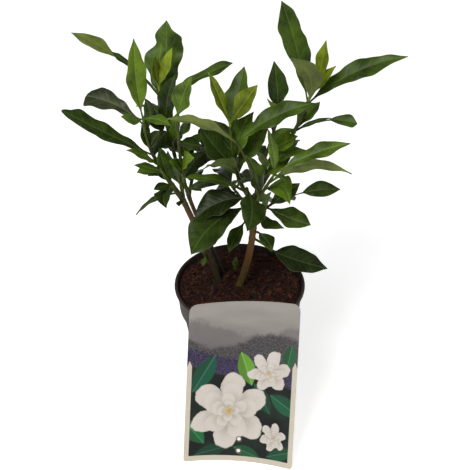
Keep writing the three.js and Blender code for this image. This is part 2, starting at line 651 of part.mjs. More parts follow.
function tipSolid(tip, curve, radius) {
  const budAxis = (share) => curve.getPoint(1)
    .addScaledVector(curve.getTangent(1), CLEARANCE + ROOT + share * BUD_LENGTH);
  return fused([budSolid(curve, radius), ...tip.leaves.map((leaf) => leafSolid(budAxis(leaf[1]), leaf))]);
}

function shootSolid(shoot, curve) {
  const [start, end] = shoot.radii;
  return fused([
    taperedTube(curve, start, end),
    ...shoot.leaves.map((leaf) => leafSolid(curve.getPoint(leaf[1]), leaf)),
  ]);
}

// ---------- assembly ----------
const group = new THREE.Group();
const curves = {};
const standing = [];

for (const shoot of SHOOTS) {
  if (shoot.tip_of) {
    const parent = SHOOTS.find((other) => other.name === shoot.tip_of);
    const solid = tipSolid(shoot, curves[shoot.tip_of], parent.radii[1]);
    group.add(meshOf(solid, shoot.name, MATERIALS[shoot.kind]));
    continue;
  }
  const curve = curveOf(shoot, curves);
  curves[shoot.name] = curve;
  if (shoot.foot) {
    const leaves = shoot.leaves.map((leaf) => leafSolid(curve.getPoint(leaf[1]), leaf));
    const stem = fused([standingTube(curve, shoot.radii, 0), ...leaves]);
    group.add(meshOf(stem, shoot.name, MATERIALS[shoot.bark]));
    standing.push(standingTube(curve, shoot.radii, CLEARANCE));
    continue;
  }
  const parent = SHOOTS.find((other) => other.name === shoot.parent);
  const [start, end] = parent.radii;
  const seat = taperedTube(curves[shoot.parent], start + CLEARANCE, end + CLEARANCE);
  group.add(meshOf(shootSolid(shoot, curve).subtract(seat), shoot.name, MATERIALS[shoot.bark]));
}

group.add(meshOf(potSolid(), 'pot', MATERIALS.pot));
group.add(meshOf(soilSolid(standing), 'soil', MATERIALS.soil));
group.add(meshOf(labelSolid(), 'label', MATERIALS.label));

export default group;
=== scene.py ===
import json
import math

import bmesh
import bpy
import numpy as np
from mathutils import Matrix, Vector

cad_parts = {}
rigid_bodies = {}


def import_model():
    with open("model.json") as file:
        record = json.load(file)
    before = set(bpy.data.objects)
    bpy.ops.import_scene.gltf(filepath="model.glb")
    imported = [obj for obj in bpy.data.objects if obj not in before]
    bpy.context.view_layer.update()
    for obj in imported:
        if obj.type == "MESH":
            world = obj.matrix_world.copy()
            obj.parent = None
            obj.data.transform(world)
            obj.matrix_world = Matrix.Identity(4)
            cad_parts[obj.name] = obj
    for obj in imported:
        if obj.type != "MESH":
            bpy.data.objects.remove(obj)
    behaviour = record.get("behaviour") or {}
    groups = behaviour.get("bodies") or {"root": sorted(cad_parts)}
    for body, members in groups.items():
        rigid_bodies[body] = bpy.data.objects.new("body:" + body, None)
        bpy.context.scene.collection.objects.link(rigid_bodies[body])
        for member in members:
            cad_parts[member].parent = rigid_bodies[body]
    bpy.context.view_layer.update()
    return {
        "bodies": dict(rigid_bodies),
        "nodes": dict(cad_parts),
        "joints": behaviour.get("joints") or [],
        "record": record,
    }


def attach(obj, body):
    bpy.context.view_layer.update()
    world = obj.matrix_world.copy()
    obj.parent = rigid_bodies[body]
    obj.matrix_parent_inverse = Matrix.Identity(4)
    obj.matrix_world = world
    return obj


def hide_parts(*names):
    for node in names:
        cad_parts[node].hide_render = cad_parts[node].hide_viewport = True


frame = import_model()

# A potted gardenia in its nursery pot, with its picture card leaning on the rim.
# The sizes below are millimetres, and every mesh is scaled by MM as it is made. +Z is up and -Y the front.
MM = 0.001

# ---------- sizes ----------
POT_HEIGHT = 112
RIM_RADIUS = 65
RIM_LIP = 2.6  # height of the rolled lip
BAND_TOP_RADIUS = 62.6
BAND_BOTTOM_RADIUS = 60.4
BAND_BOTTOM = 84
BAND_STEP = 1.5  # height of the slope between the body and the band
BODY_TOP_RADIUS = 57.4
BASE_RADIUS = 45
POT_WALL = 1.3
POT_AROUND = 160
DRAIN_HOLES = 8
DRAIN_HOLE_RADIUS = 4
DRAIN_CIRCLE_RADIUS = 31
FLOOR_RADIUS = 41  # where the flat floor meets the wall's curve

SOIL_LEVEL = 109
SOIL_EDGE = 60.5
SOIL_WAVE = 1.1
SOIL_HEAP = 2.2  # round each stem
SOIL_AROUND = 260
SOIL_RINGS = 110
STEM_DEPTH = 20  # that a stem reaches into the soil
CRUMBS = 1900
CRUMB_LEAST = 0.32
FIBRES = 900
FIBRE_LENGTHS = (3, 12)
FIBRE_RADII = (0.16, 0.42)

CARD_WIDTH = 104
CARD_LENGTH = 154
CARD_THICKNESS = 0.7
CARD_CORNER = 7
CARD_FOOT_CORNER = 3.5
CARD_BOW = 6  # the side edges stand this far in front of the middle
CARD_YAW = math.radians(-5.4)
CARD_TWIST = math.radians(6)  # that the sheet turns back from its foot to its top
CARD_FOOT = 132.5  # from the pot's axis to the foot, on the ground
CARD_SHIFT = 10.5
# Its lean from upright, so that its back rests on the lip, 1.2 from the rim and 0.8 below the top.
CARD_LEAN = math.atan2(CARD_FOOT - RIM_RADIUS - 1.2, POT_HEIGHT - 0.8)
CARD_HOLE_RADIUS = 1.8
CARD_HOLES = (10, 21.5)
CARD_CELL = 11.5 / 4  # spacing of the card's grid round the holes

STALK = 8  # % of a leaf's length that is its stalk
STALK_RADIUS = 0.75
BASE_TAPER = 1.2  # power of the sine that widens a leaf from its stalk
TIP_TAPER = 1  # power of the sine that narrows it to its tip
ROOT = 1.2  # how far a stalk starts inside its stem
FOLD = 0.32  # rise of a leaf's edges over its midrib, per half width
CURL = 0.12  # edges rolled back down, per half width
RIPPLE = 0.075  # edge ripple, per width
RIPPLES = 3
VEINS = 9  # side veins on each half of a leaf
BLADE = 0.45  # thickness of a leaf between its veins
VEIN_SLANT = 0.62  # of a side vein, towards the tip
VEIN_BEND = 0.035  # of a side vein, per mm
PILLOW = 0.08  # height of the blade between its side veins
GROOVE = 0.3  # depth of the midrib's groove above
RIB = 0.75  # height of the midrib below
STEM_SPACING = 1.6  # of a stem's rings
SWELLING = 0.16  # of a stem at its joints, per radius
SWELLING_REACH = 1.5
BUD_LENGTH = 7
BUD_AROUND = 16
BUD_RINGS = 14
CLEARANCE = 0.3

# ---------- the plant ----------
def shoot(name, parent, at, radii, path, *leaves, bark="green"):
    """A stem or shoot. It starts on the soil at a place, or on its parent at a share of the parent's length,
    and bends through three more points."""
    return {
        "name": name, "parent": parent, "at": at, "radii": radii, "path": path, "leaves": leaves,
        "bark": bark}


def tip(parent, kind, *leaves):
    """The bud and young leaves that end a shoot."""
    return {"name": parent + "_tip", "tip_of": parent, "kind": kind, "leaves": leaves}


# A leaf is (tone, share of the shoot or bud, compass heading, rise, length, width, widest at %, roll, arch,
# sweep), then its twist and the % of its length that is stalk where these are not 0 and STALK. Its tone names
# its green, from deep to lime. The heading turns from +X towards +Y. Arch lifts the middle of the leaf out of
# its own plane, and sweep bends it sideways.
SHOOTS = [
    shoot("main_stem", "soil", (-1, -3), (3.6, 2.9), [(9, 2, 136), (15, 0, 174), (13, 2, 213)], bark="brown"),
    shoot("left_stem", "soil", (-20, 4), (3.2, 2.6), [(-31, 12, 144), (-45, 11, 178), (-56, 8, 213)],
        bark="brown"),
    shoot("thin_stem", "soil", (-15, 13), (2.5, 1.9), [(-28, 21, 142), (-42, 19, 175), (-50, 16, 210)],
        bark="brown"),
    shoot("sucker", "soil", (-4, 22), (2, 1.4), [(-4, 22, 113), (-5, 22, 116), (-5, 21, 119)],
        ("mid", 0.4, 262, 74, 12, 7, 50, 0, 0, 0), ("mid", 0.4, 80, 70, 11, 6, 50, 0, 0, 0), bark="bright"),
    shoot("low_leaf_left", "main_stem", 0.7, (1.2, 1), [(9, 1, 183), (6, 0, 186), (4, -1, 187)],
        ("mid", 0.9, 235, -37, 33, 15, 50, 0, 1, 1)),
    shoot("low_leaf_back", "main_stem", 0.66, (1.2, 1), [(15, -1, 176), (16, -2, 176), (18, -3, 176)],
        ("mid", 0.9, 306, -19, 24, 16, 45, -5, 1, -1)),
    shoot("low_leaf_right", "main_stem", 0.6, (1.3, 1.1), [(21, 0, 162), (26, -3, 160), (31, -5, 155)],
        ("deep", 0.95, 357, -20, 59, 26, 38, 28, -1, 1)),
    shoot("left_outer", "left_stem", 0.97, (2, 1.3), [(-68, 2, 237), (-83, -4, 261), (-85, -10, 302)],
        ("old", 0.64, 188, 34, 93, 20, 62, -22, 0, -1), ("bright", 0.5, 235, 42, 57, 11, 50, -42, 1, 1),
        ("sheen", 0.96, 158, 18, 59, 23, 82, -22, 3, 4), ("old", 0.9, 93, 27, 36, 14, 55, -47, -3, 3),
        ("old", 0.6, 55, 42, 28, 18, 50, -7, 2, -3), ("mid", 0.42, 203, 10, 25, 16, 50, -13, 1, 1),
        ("mid", 0.32, 181, 5, 18, 14, 50, -8, 3, 3), ("deep", 0.72, 311, 57, 31, 13, 50, 78, 1, -1),
        ("mid", 0.2, 224, 74, 49, 18, 50, -90, -1, -2), ("old", 0.7, 132, 73, 30, 12, 50, 3, -1, -2)),
    tip("left_outer", "bright",
        ("bright", 0.6, 110, 78, 69, 21, 46, 20, -1, -2), ("fresh", 0.3, 232, 28, 30, 10, 55, -49, -1, -2),
        ("fresh", 0.2, 316, 13, 37, 10, 50, 27, 1, -2)),
    shoot("left_back", "left_stem", 0.93, (2, 1.3), [(-55, 16, 235), (-69, 28, 271), (-73, 34, 309)],
        ("mid", 0.86, 83, 63, 78, 38, 55, -17, -1, 1), ("under", 0.95, 173, 37, 97, 16, 50, -16, 4, 4, 0, 52),
        ("old", 0.6, 10, 83, 66, 20, 55, 45, 3, -5), ("old", 0.72, 220, 25, 24, 22, 50, -37, 0, 1),
        ("mid", 0.5, 195, 32, 27, 20, 50, -29, 3, 3), ("old", 0.7, 128, -2, 52, 20, 52, 10, 6, 3),
        ("deep", 0.45, 100, -12, 50, 22, 55, -8, 6, 2), ("fresh", 0.55, 313, 72, 41, 14, 50, 90, 0, 0),
        ("mid", 0.94, 352, 31, 77, 15, 80, 16, 1, -1, 10), ("old", 0.93, 173, 46, 62, 8, 72, -14, 2, 2),
        ("old", 0.14, 147, 67, 38, 15, 50, -89, 1, -1)),
    tip("left_back", "lime",
        ("lime", 0.4, 338, 70, 43, 12, 50, 70, 0, 0), ("lime", 0.3, 164, 84, 31, 10, 50, -25, -1, -1),
        ("bright", 0.3, 68, 75, 41, 6, 50, -17, 1, -1)),
    shoot("left_front", "thin_stem", 0.97, (1.8, 1.3), [(-55, 6, 237), (-55, -6, 275), (-55, -12, 305)],
        ("fresh", 0.55, 36, 31, 30, 15, 50, 3, 0, 0), ("old", 0.22, 40, 38, 34, 24, 50, 3, 2, -2),
        ("bright", 0.38, 294, 44, 43, 16, 55, 71, 2, -2), ("old", 0.1, 319, 16, 21, 9, 55, 7, 1, -1),
        ("old", 0.72, 12, -18, 22, 16, 50, 19, 1, 1), ("fresh", 0.3, 243, 51, 36, 14, 50, -65, 1, 1),
        ("old", 0.06, 318, 32, 50, 11, 50, 44, 2, -3), ("mid", 0.8, 46, 43, 19, 11, 50, 3, -1, 2)),
    tip("left_front", "bright",
        ("fresh", 0.1, 34, 66, 39, 22, 42, 10, 1, -1)),
    shoot("left_low", "left_stem", 0.88, (1.6, 1.1), [(-61, 0, 221), (-67, -8, 240), (-72, -14, 256)],
        ("mid", 0.9, 203, 28, 29, 12, 50, -18, 0, 0), ("old", 0.5, 264, -6, 31, 18, 35, 17, 2, 4),
        ("old", 0.3, 190, -27, 44, 9, 50, 2, 4, 2), ("mid", 0.12, 260, 6, 12, 8, 50, 15, 0, 0),
        ("old", 0.55, 232, 15, 23, 10, 50, -27, 0, 0)),
    shoot("left_twig", "left_stem", 0.22, (1.1, 0.9), [(-31, 8, 132), (-34, 5, 141), (-37, 3, 150)],
        ("mid", 0.6, 251, -31, 10, 8, 50, 25, 0, 0), ("mid", 1, 236, 65, 14, 6, 50, -73, 1, 0)),
    shoot("back_left", "thin_stem", 0.93, (1.7, 1.2), [(-48, 26, 217), (-41, 42, 224), (-35, 54, 236)],
        ("deep", 0.97, 68, 26, 34, 20, 50, -19, 3, -1), ("deep", 0.95, 137, -9, 51, 18, 50, 11, -1, 0),
        ("deep", 0.8, 95, -14, 47, 22, 50, 12, 1, 2), ("deep", 0.6, 125, -2, 56, 22, 50, 2, 7, 1),
        ("deep", 0.5, 61, -5, 50, 22, 50, 5, 6, -1), ("deep", 0.3, 84, -20, 52, 22, 50, -10, 2, -2)),
    shoot("middle_top", "main_stem", 0.95, (2.1, 1.4), [(-2, -4, 229), (-8, -8, 261), (-9, -10, 297)],
        ("mid", 0.94, 71, 51, 60, 24, 50, -16, 0, 0), ("old", 0.55, 162, 47, 49, 26, 50, -22, -1, -1),
        ("mid", 0.4, 221, 32, 53, 22, 45, 45, 9, -5), ("mid", 0.5, 41, 40, 51, 22, 50, 6, 2, -2),
        ("old", 0.3, 250, 30, 32, 13, 50, 26, 5, -4), ("old", 0.7, 110, 5, 51, 20, 50, 10, 4, 1),
        ("mid", 0.4, 101, -7, 56, 20, 50, 14, 5, -2), ("fresh", 0.6, 40, 64, 51, 22, 50, 11, 2, -4),
        ("mid", 0.75, 160, 57, 33, 12, 50, -14, 3, 3)),
    tip("middle_top", "lime",
        ("lime", 0.3, 9, 56, 43, 20, 50, 31, 0, 0), ("lime", 0.2, 163, 68, 51, 13, 50, -24, 0, 0)),
    shoot("crown", "main_stem", 0.86, (1.9, 1.5), [(9, -4, 209), (7, -10, 221), (6, -14, 235)],
        ("old", 0.27, 224, -12, 78, 33, 68, -14, 4, 8), ("deep", 0.6, 193, -18, 55, 30, 50, -20, 4, 6),
        ("old", 0.96, 270, -19, 47, 27, 50, -31, 2, -4), ("fresh", 0.8, 188, 21, 63, 13, 50, -7, 4, 3)),
    shoot("right_top", "main_stem", 0.975, (2.2, 1.4), [(22, 10, 230), (48, 16, 265), (62, 22, 307)],
        ("mid", 0.97, 129, 65, 93, 25, 66, -7, 1, 2), ("under", 0.95, 239, 62, 70, 23, 66, 12, 5, -9),
        ("mid", 0.95, 356, 31, 100, 20, 58, 27, 5, -6), ("mid", 0.74, 43, 28, 38, 18, 60, -3, 1, -1),
        ("mid", 0.74, 348, 15, 59, 13, 80, 7, 5, -4, 30, 55), ("old", 0.84, 85, -16, 38, 17, 50, 12, 4, -1),
        ("old", 0.45, 53, 7, 41, 18, 50, -10, 4, -2), ("old", 0.73, 348, 30, 39, 5, 50, 30, 1, -2)),
    tip("right_top", "lime",
        ("lime", 0.4, 26, 76, 52, 13, 60, 26, -1, 2), ("lime", 0.2, 344, 57, 39, 11, 60, 33, 0, 0)),
    shoot("right_front", "main_stem", 0.9, (1.9, 1.3), [(20, -10, 228), (24, -20, 241), (29, -26, 255)],
        ("under", 0.62, 352, 15, 79, 18, 50, -71, 10, 8), ("fresh", 0.4, 323, -1, 31, 24, 45, 13, 7, -10),
        ("fresh", 0.15, 228, 74, 61, 18, 50, -90, 3, 4)),
    shoot("middle_slim", "right_front", 0.28, (1.3, 1), [(16, -24, 248), (6, -28, 274), (-4, -28, 293)],
        ("mid", 0.97, 2, 30, 76, 22, 52, 23, 3, -4), ("under", 0.95, 175, 19, 67, 16, 50, 64, 5, -4)),
    tip("right_front", "bright",
        ("fresh", 0.4, 5, 23, 72, 17, 62, 17, 2, -3), ("fresh", 0.4, 132, 77, 43, 11, 45, -3, 1, 1),
        ("mid", 0.2, 295, 16, 22, 7, 50, -1, 1, -1)),
    shoot("right_mid", "right_top", 0.14, (1.7, 1.2), [(20, -2, 238), (25, -2, 257), (32, -4, 271)],
        ("bright", 0.95, 342, 42, 28, 16, 50, 35, 0, 0), ("fresh", 0.6, 353, 28, 39, 16, 50, 15, 2, -2),
        ("bright", 0.35, 17, 41, 37, 18, 50, 18, -1, 2), ("mid", 0.45, 250, 62, 36, 13, 50, -20, 1, 0),
        ("fresh", 0.85, 13, 46, 32, 12, 50, 20, 4, -6)),
    shoot("right_back", "main_stem", 0.93, (1.8, 1.2), [(17, 34, 221), (33, 56, 249), (39, 62, 277)],
        ("old", 0.88, 102, 66, 53, 21, 50, 13, 0, 1), ("old", 0.9, 62, -20, 40, 18, 50, 0, 4, 0),
        ("old", 0.8, 125, -24, 42, 18, 50, -10, 4, -2), ("old", 0.7, 82, -9, 60, 22, 50, -12, 8, -1),
        ("old", 0.5, 53, -8, 50, 20, 50, 6, 5, -2), ("old", 0.38, 112, -9, 58, 20, 50, 14, 7, 4)),
    tip("right_back", "lime",
        ("lime", 0.3, 211, 29, 19, 6, 50, -61, -1, -5)),
    shoot("right_low", "main_stem", 0.78, (1.6, 1.1), [(21, -8, 206), (26, -12, 213), (32, -14, 219)],
        ("mid", 0.6, 339, -12, 44, 24, 62, 14, -1, 1), ("mid", 0.4, 308, -4, 31, 16, 50, -1, -5, 5),
        ("old", 0.97, 4, 11, 62, 17, 50, 25, 2, -3, 0, 44), ("mid", 0.6, 56, -18, 54, 18, 50, 10, 5, 1),
        ("mid", 0.25, 296, 61, 43, 9, 50, 90, 0, 0), ("mid", 0.8, 28, 25, 34, 14, 50, 45, 0, 0)),
    shoot("back_low", "main_stem", 0.82, (1.7, 1.2), [(6, 18, 194), (0, 34, 193), (-8, 50, 194)],
        ("old", 0.97, 108, -14, 56, 20, 50, -10, 8, 2), ("old", 0.9, 60, -17, 58, 22, 50, 8, 7, 1),
        ("old", 0.75, 130, -34, 50, 20, 50, -20, 8, -2), ("old", 0.45, 48, -28, 54, 18, 50, 20, 6, 0)),
]

# A leaf's colour, as red, green and blue out of 255. The sheen tone is a grey green with a painted sheen of
# light in it.
TONES = {
    "deep": (30, 42, 10), "old": (42, 59, 14), "mid": (58, 79, 19), "fresh": (72, 96, 20),
    "bright": (84, 108, 16), "lime": (104, 119, 14), "under": (90, 102, 42), "sheen": (54, 61, 38),
}
# A stem's colours, by its bark or its name, at each of these shares of its length.
TONE_SHARES = (0.08, 0.4, 0.7, 1)
STEM_TONES = {
    "green": [(58, 64, 18), (62, 70, 20), (64, 74, 20), (66, 76, 20)],
    "bright": [(70, 88, 22)] * 4,
    "main_stem": [(72, 61, 20), (100, 66, 27), (82, 62, 24), (56, 60, 20)],
    "left_stem": [(38, 33, 15), (62, 48, 22), (88, 56, 32), (60, 62, 22)],
    "thin_stem": [(30, 25, 14), (50, 38, 24), (76, 52, 32), (56, 60, 22)],
}

# Edges that bulge or are drawn in, on single leaves, each found by its shoot and heading: (share of the
# length, side, millimetres out, spread). Side 1 is the right-hand edge from above, seen along the leaf.
LOBES = {
    ("left_outer", 188): [
        (0.83, 1, 3.2, 0.08), (0.6, 1, -2, 0.1), (0.97, 1, 1.6, 0.04), (0.95, -1, 2.2, 0.06)],
    ("left_outer", 158): [
        (0.93, -1, 6, 0.06), (0.98, 1, 3.2, 0.04), (0.45, 1, -1.8, 0.2), (0.5, -1, -1.8, 0.2)],
    ("left_back", 83): [
        (0.82, 1, 5, 0.05), (0.9, 1, -1.4, 0.04), (0.7, 1, 1.5, 0.07), (0.47, 1, -2.8, 0.14),
        (0.74, -1, -5, 0.08), (0.5, -1, 1.2, 0.07), (0.3, -1, 2, 0.09)],
    ("left_back", 352): [(0.72, -1, -1.8, 0.12), (0.72, 1, -1.4, 0.12)],
    ("left_back", 173): [
        (0.88, -1, 2.2, 0.06), (0.9, 1, 0.8, 0.05), (0.66, -1, -2.2, 0.08), (0.66, 1, -1, 0.08)],
    ("middle_slim", 2): [(0.5, 1, -1.5, 0.2)],
    ("right_top", 129): [
        (0.75, -1, 3.4, 0.09), (0.7, 1, -4, 0.09), (0.46, 1, 2.6, 0.1), (0.89, 1, 1.4, 0.06)],
    ("right_top", 356): [
        (0.28, -1, 2.6, 0.1), (0.78, -1, -1.6, 0.08), (0.7, 1, 3.2, 0.07), (0.88, 1, -0.8, 0.05)],
    ("right_low", 4): [(0.75, -1, 1.2, 0.1)],
    ("low_leaf_right", 357): [
        (0.2, -1, 2.6, 0.1), (0.2, 1, 2, 0.1), (0.78, -1, 2.2, 0.1), (0.78, 1, 1.4, 0.1)],
}


def linear(colour):
    """A colour out of 255 as three linear shares of full light."""
    c = np.array(colour) / 255
    return np.where(c < 0.04045, c / 12.92, ((c + 0.055) / 1.055) ** 2.4)


def unit(v):
    """Vectors scaled to length one, along the last axis."""
    return v / np.linalg.norm(v, axis=-1, keepdims=True)


def turns(count):
    """Angles spread evenly round a circle."""
    return np.arange(count) / count * 2 * math.pi


def step(x, low, high):
    """Nought below low and one above high, with a smooth rise between."""
    t = np.clip((x - low) / (high - low), 0, 1)
    return t * t * (3 - 2 * t)


def bell(x, centre, spread):
    """One at the centre, falling smoothly to nought a few spreads away."""
    return np.exp(-(((x - centre) / spread) ** 2))


LATTICE = 97


def lumps(x, y, size, seed):
    """Smooth bumps from -1 to 1: random heights on a square lattice of that size, blended between its
    corners. The lattice comes again after LATTICE squares."""
    heights = np.random.default_rng(seed).uniform(-1, 1, (LATTICE, LATTICE))
    i, j = np.floor(x / size).astype(int), np.floor(y / size).astype(int)
    a, b = step(x / size - i, 0, 1), step(y / size - j, 0, 1)

    def between(j):
        return heights[i % LATTICE, j % LATTICE] * (1 - a) + heights[(i + 1) % LATTICE, j % LATTICE] * a

    return between(j) * (1 - b) + between(j + 1) * b


# ---------- patches: points with their faces ----------
def patch(points, quads, triangles=None, **marks):
    """A piece of surface. Marks are values at the points: tone, veins and face."""
    triangles = np.zeros((0, 3), int) if triangles is None else triangles
    return {"points": points.reshape(-1, 3), "quads": quads, "triangles": triangles, **marks}


def grid_faces(rows, columns, wrap=False, flip=False):
    """The quads of a grid of points, closed round its columns where it wraps."""
    i, j = np.meshgrid(np.arange(rows - 1), np.arange(columns if wrap else columns - 1), indexing="ij")
    k = (j + 1) % columns
    quads = np.stack([i * columns + j, i * columns + k, (i + 1) * columns + k, (i + 1) * columns + j], -1)
    quads = quads.reshape(-1, 4)
    return quads[:, ::-1] if flip else quads


def band(grid, flip=False):
    """A grid of points closed round its columns."""
    return patch(grid, grid_faces(*grid.shape[:2], wrap=True, flip=flip))


def skin(rings, **marks):
    """A closed skin over a stack of rings, each end drawn together on the middle of its ring."""
    rows, columns = rings.shape[:2]
    points = np.concatenate([rings.reshape(-1, 3), rings[:1].mean(1), rings[-1:].mean(1)])
    j = np.arange(columns)
    k = (j + 1) % columns
    foot, top = np.full(columns, rows * columns), np.full(columns, rows * columns + 1)
    last = (rows - 1) * columns
    triangles = np.concatenate([np.stack([k, j, foot], -1), np.stack([last + j, last + k, top], -1)])
    ends = {
        name: np.concatenate([value.reshape(rows * columns, -1), value[:1].mean(1), value[-1:].mean(1)])
        for name, value in marks.items()
    }
    return patch(points, grid_faces(rows, columns, wrap=True), triangles, **ends)


def copies(points, quads, triangles, shades, odds, chance):
    """One small shape many times, points[copy, point], each copy in a shade drawn by those odds."""
    count, size = points.shape[:2]
    tones = linear(shades)[chance.choice(len(shades), count, p=odds)]
    starts = (np.arange(count) * size)[:, None, None]
    quads, triangles = (quads + starts).reshape(-1, 4), (triangles + starts).reshape(-1, 3)
    return patch(points, quads, triangles, tone=np.repeat(tones, size, 0))


def joined(patches):
    """Several patches as one, with the numbers of their points moved on."""
    starts = np.cumsum([0] + [len(p["points"]) for p in patches[:-1]])
    whole = {
        key: np.concatenate([p[key] + start for p, start in zip(patches, starts)])
        for key in ("quads", "triangles")
    }
    for key in patches[0]:
        if key not in whole:
            whole[key] = np.concatenate([p[key] for p in patches])
    return whole


ATTRIBUTES = {
    "tone": ("FLOAT_COLOR", "color"), "veins": ("FLOAT_VECTOR", "vector"), "face": ("FLOAT", "value")}


def build(name, surface, finish, weld=False, crease=None):
    """A mesh object from a patch, in metres at the origin, with its marks as attributes."""
    mesh = bpy.data.meshes.new(name)
    quads, triangles = surface["quads"], surface["triangles"]
    corners = np.concatenate([quads.ravel(), triangles.ravel()]).astype(np.int32)
    sizes = np.repeat([4, 3], [len(quads), len(triangles)])
    starts = np.concatenate([[0], np.cumsum(sizes)[:-1]]).astype(np.int32)
    mesh.vertices.add(len(surface["points"]))
    mesh.vertices.foreach_set("co", (surface["points"] * MM).astype(np.float32).ravel())
    mesh.loops.add(len(corners))
    mesh.loops.foreach_set("vertex_index", corners)
    mesh.polygons.add(len(sizes))
    mesh.polygons.foreach_set("loop_start", starts)
    mesh.update(calc_edges=True)
    for mark, (kind, field) in ATTRIBUTES.items():
        if mark in surface:
            values = surface[mark]
            if field == "color":
                values = np.column_stack([values, np.ones(len(values))])
            layer = mesh.attributes.new(mark, kind, "POINT")
            layer.data.foreach_set(field, values.astype(np.float32).ravel())
    if weld:
        loose = bmesh.new()
        loose.from_mesh(mesh)
        bmesh.ops.remove_doubles(loose, verts=loose.verts, dist=1e-6)
        loose.to_mesh(mesh)
        loose.free()
    mesh.shade_smooth()
    if crease is not None:
        mesh.set_sharp_from_angle(angle=math.radians(crease))
    mesh.materials.append(finish)
    piece = bpy.data.objects.new(name, mesh)
    bpy.context.scene.collection.objects.link(piece)
    return piece


# ---------- stems ----------
class Curve:
    """A cubic Bezier curve: its four points weighted by the shares (1-t)^3, 3t(1-t)^2, 3t^2(1-t) and t^3."""

    def __init__(self, points):
        self.points = np.array(points, float)

    def at(self, t):
        t = np.asarray(t, float)[..., None]
        a, b, c, d = self.points
        return a * (1 - t) ** 3 + b * 3 * t * (1 - t) ** 2 + c * 3 * t * t * (1 - t) + d * t**3

    def along(self, t):
        t = np.asarray(t, float)[..., None]
        a, b, c, d = self.points
        return unit((b - a) * (1 - t) ** 2 + (c - b) * 2 * t * (1 - t) + (d - c) * t * t)


def stem_rings(path, along, radius, around):
    """Circles of the given radii square to a path, turned from one fixed direction that the path never
    takes."""
    steady = np.eye(3)[np.argmin(np.abs(along).max(0))]
    first = unit(np.cross(along, steady))
    second = np.cross(along, first)
    turn = turns(around)
    circle = first[:, None] * np.cos(turn)[:, None] + second[:, None] * np.sin(turn)[:, None]
    return path[:, None] + circle * radius[..., None]


def stem(curve, radii, joints, tones, seed, root=0.0):
    """A tapering stem. It swells at each joint by a bell of SWELLING times its radius, is a little out of
    round, and starts as far before the curve as its root."""
    length = np.linalg.norm(np.diff(curve.at(np.linspace(0, 1, 60)), axis=0), axis=1).sum()
    count = max(10, int(length / STEM_SPACING))
    t = np.linspace(0, 1, count)
    path, along = curve.at(t), curve.along(t)
    travelled = np.concatenate([[0], np.cumsum(np.linalg.norm(np.diff(path, axis=0), axis=1))])
    share = travelled / travelled[-1]
    radius = radii[0] + (radii[1] - radii[0]) * share
    for joint in joints:
        radius = radius * (1 + SWELLING * bell(travelled, np.interp(joint, t, travelled), SWELLING_REACH))
    if root:
        path = np.concatenate([path[:1] - along[:1] * root, path])
        along = np.concatenate([along[:1], along])
        radius = np.concatenate([radius[:1], radius])
        share = np.concatenate([[0], share])
    around = 20 if radii[0] > 1.5 else 14
    turn = turns(around)
    place = share[:, None] * length + 0 * turn
    uneven = 0.05 * lumps(place, 9 * np.sin(turn) + 20 + 0 * place, 4, seed) + 0.03 * np.sin(3 * turn + seed)
    rings = stem_rings(path, along, radius[:, None] * (1 + uneven), around)
    rings[-1] = rings[-1].mean(0) + (rings[-1] - rings[-1].mean(0)) * 0.75
    tone = np.stack([np.interp(share, TONE_SHARES, part) for part in linear(tones).T], -1)
    tone = np.broadcast_to(tone[:, None], rings.shape)
    nought = np.zeros(rings.shape)
    return skin(rings, tone=tone, veins=nought, face=nought[..., :1] + 0.5)


def bud(curve, radius, tone):
    """The closed pair of leaves that a shoot ends in: a flattened spindle, whose radius falls with the share
    s of its length as (1 - s^2.2)^0.9, with a slight swelling by the sine of a half turn."""
    share = np.linspace(0, 1, BUD_RINGS)
    end, along = curve.at(1), curve.along(1)
    path = end - along * 0.6 + along * share[:, None] * (BUD_LENGTH + 0.6)
    thick = radius * (1 - share**2.2) ** 0.9 * (0.85 + 0.25 * np.sin(math.pi * share))
    flattened = 1 + 0.12 * np.cos(2 * turns(BUD_AROUND))
    along = np.repeat(along[None], BUD_RINGS, 0)
    rings = stem_rings(path, along, thick[:, None] * flattened, BUD_AROUND)
    nought = np.zeros(rings.shape)
    return skin(rings, tone=nought + linear(tone), veins=nought, face=nought[..., :1] + 0.5)


# ---------- leaves ----------
HALF_ACROSS = np.array([0, 0.1, 0.24, 0.42, 0.6, 0.77, 0.9, 0.97, 1])
ACROSS = np.concatenate([-HALF_ACROSS[:0:-1], HALF_ACROSS])
LEAF_RING = np.concatenate([ACROSS, ACROSS[-2:0:-1]])  # over the upper face, and back under the lower one
UPPER = np.concatenate([[0], np.ones(len(ACROSS) - 2), [0], -np.ones(len(ACROSS) - 2)])


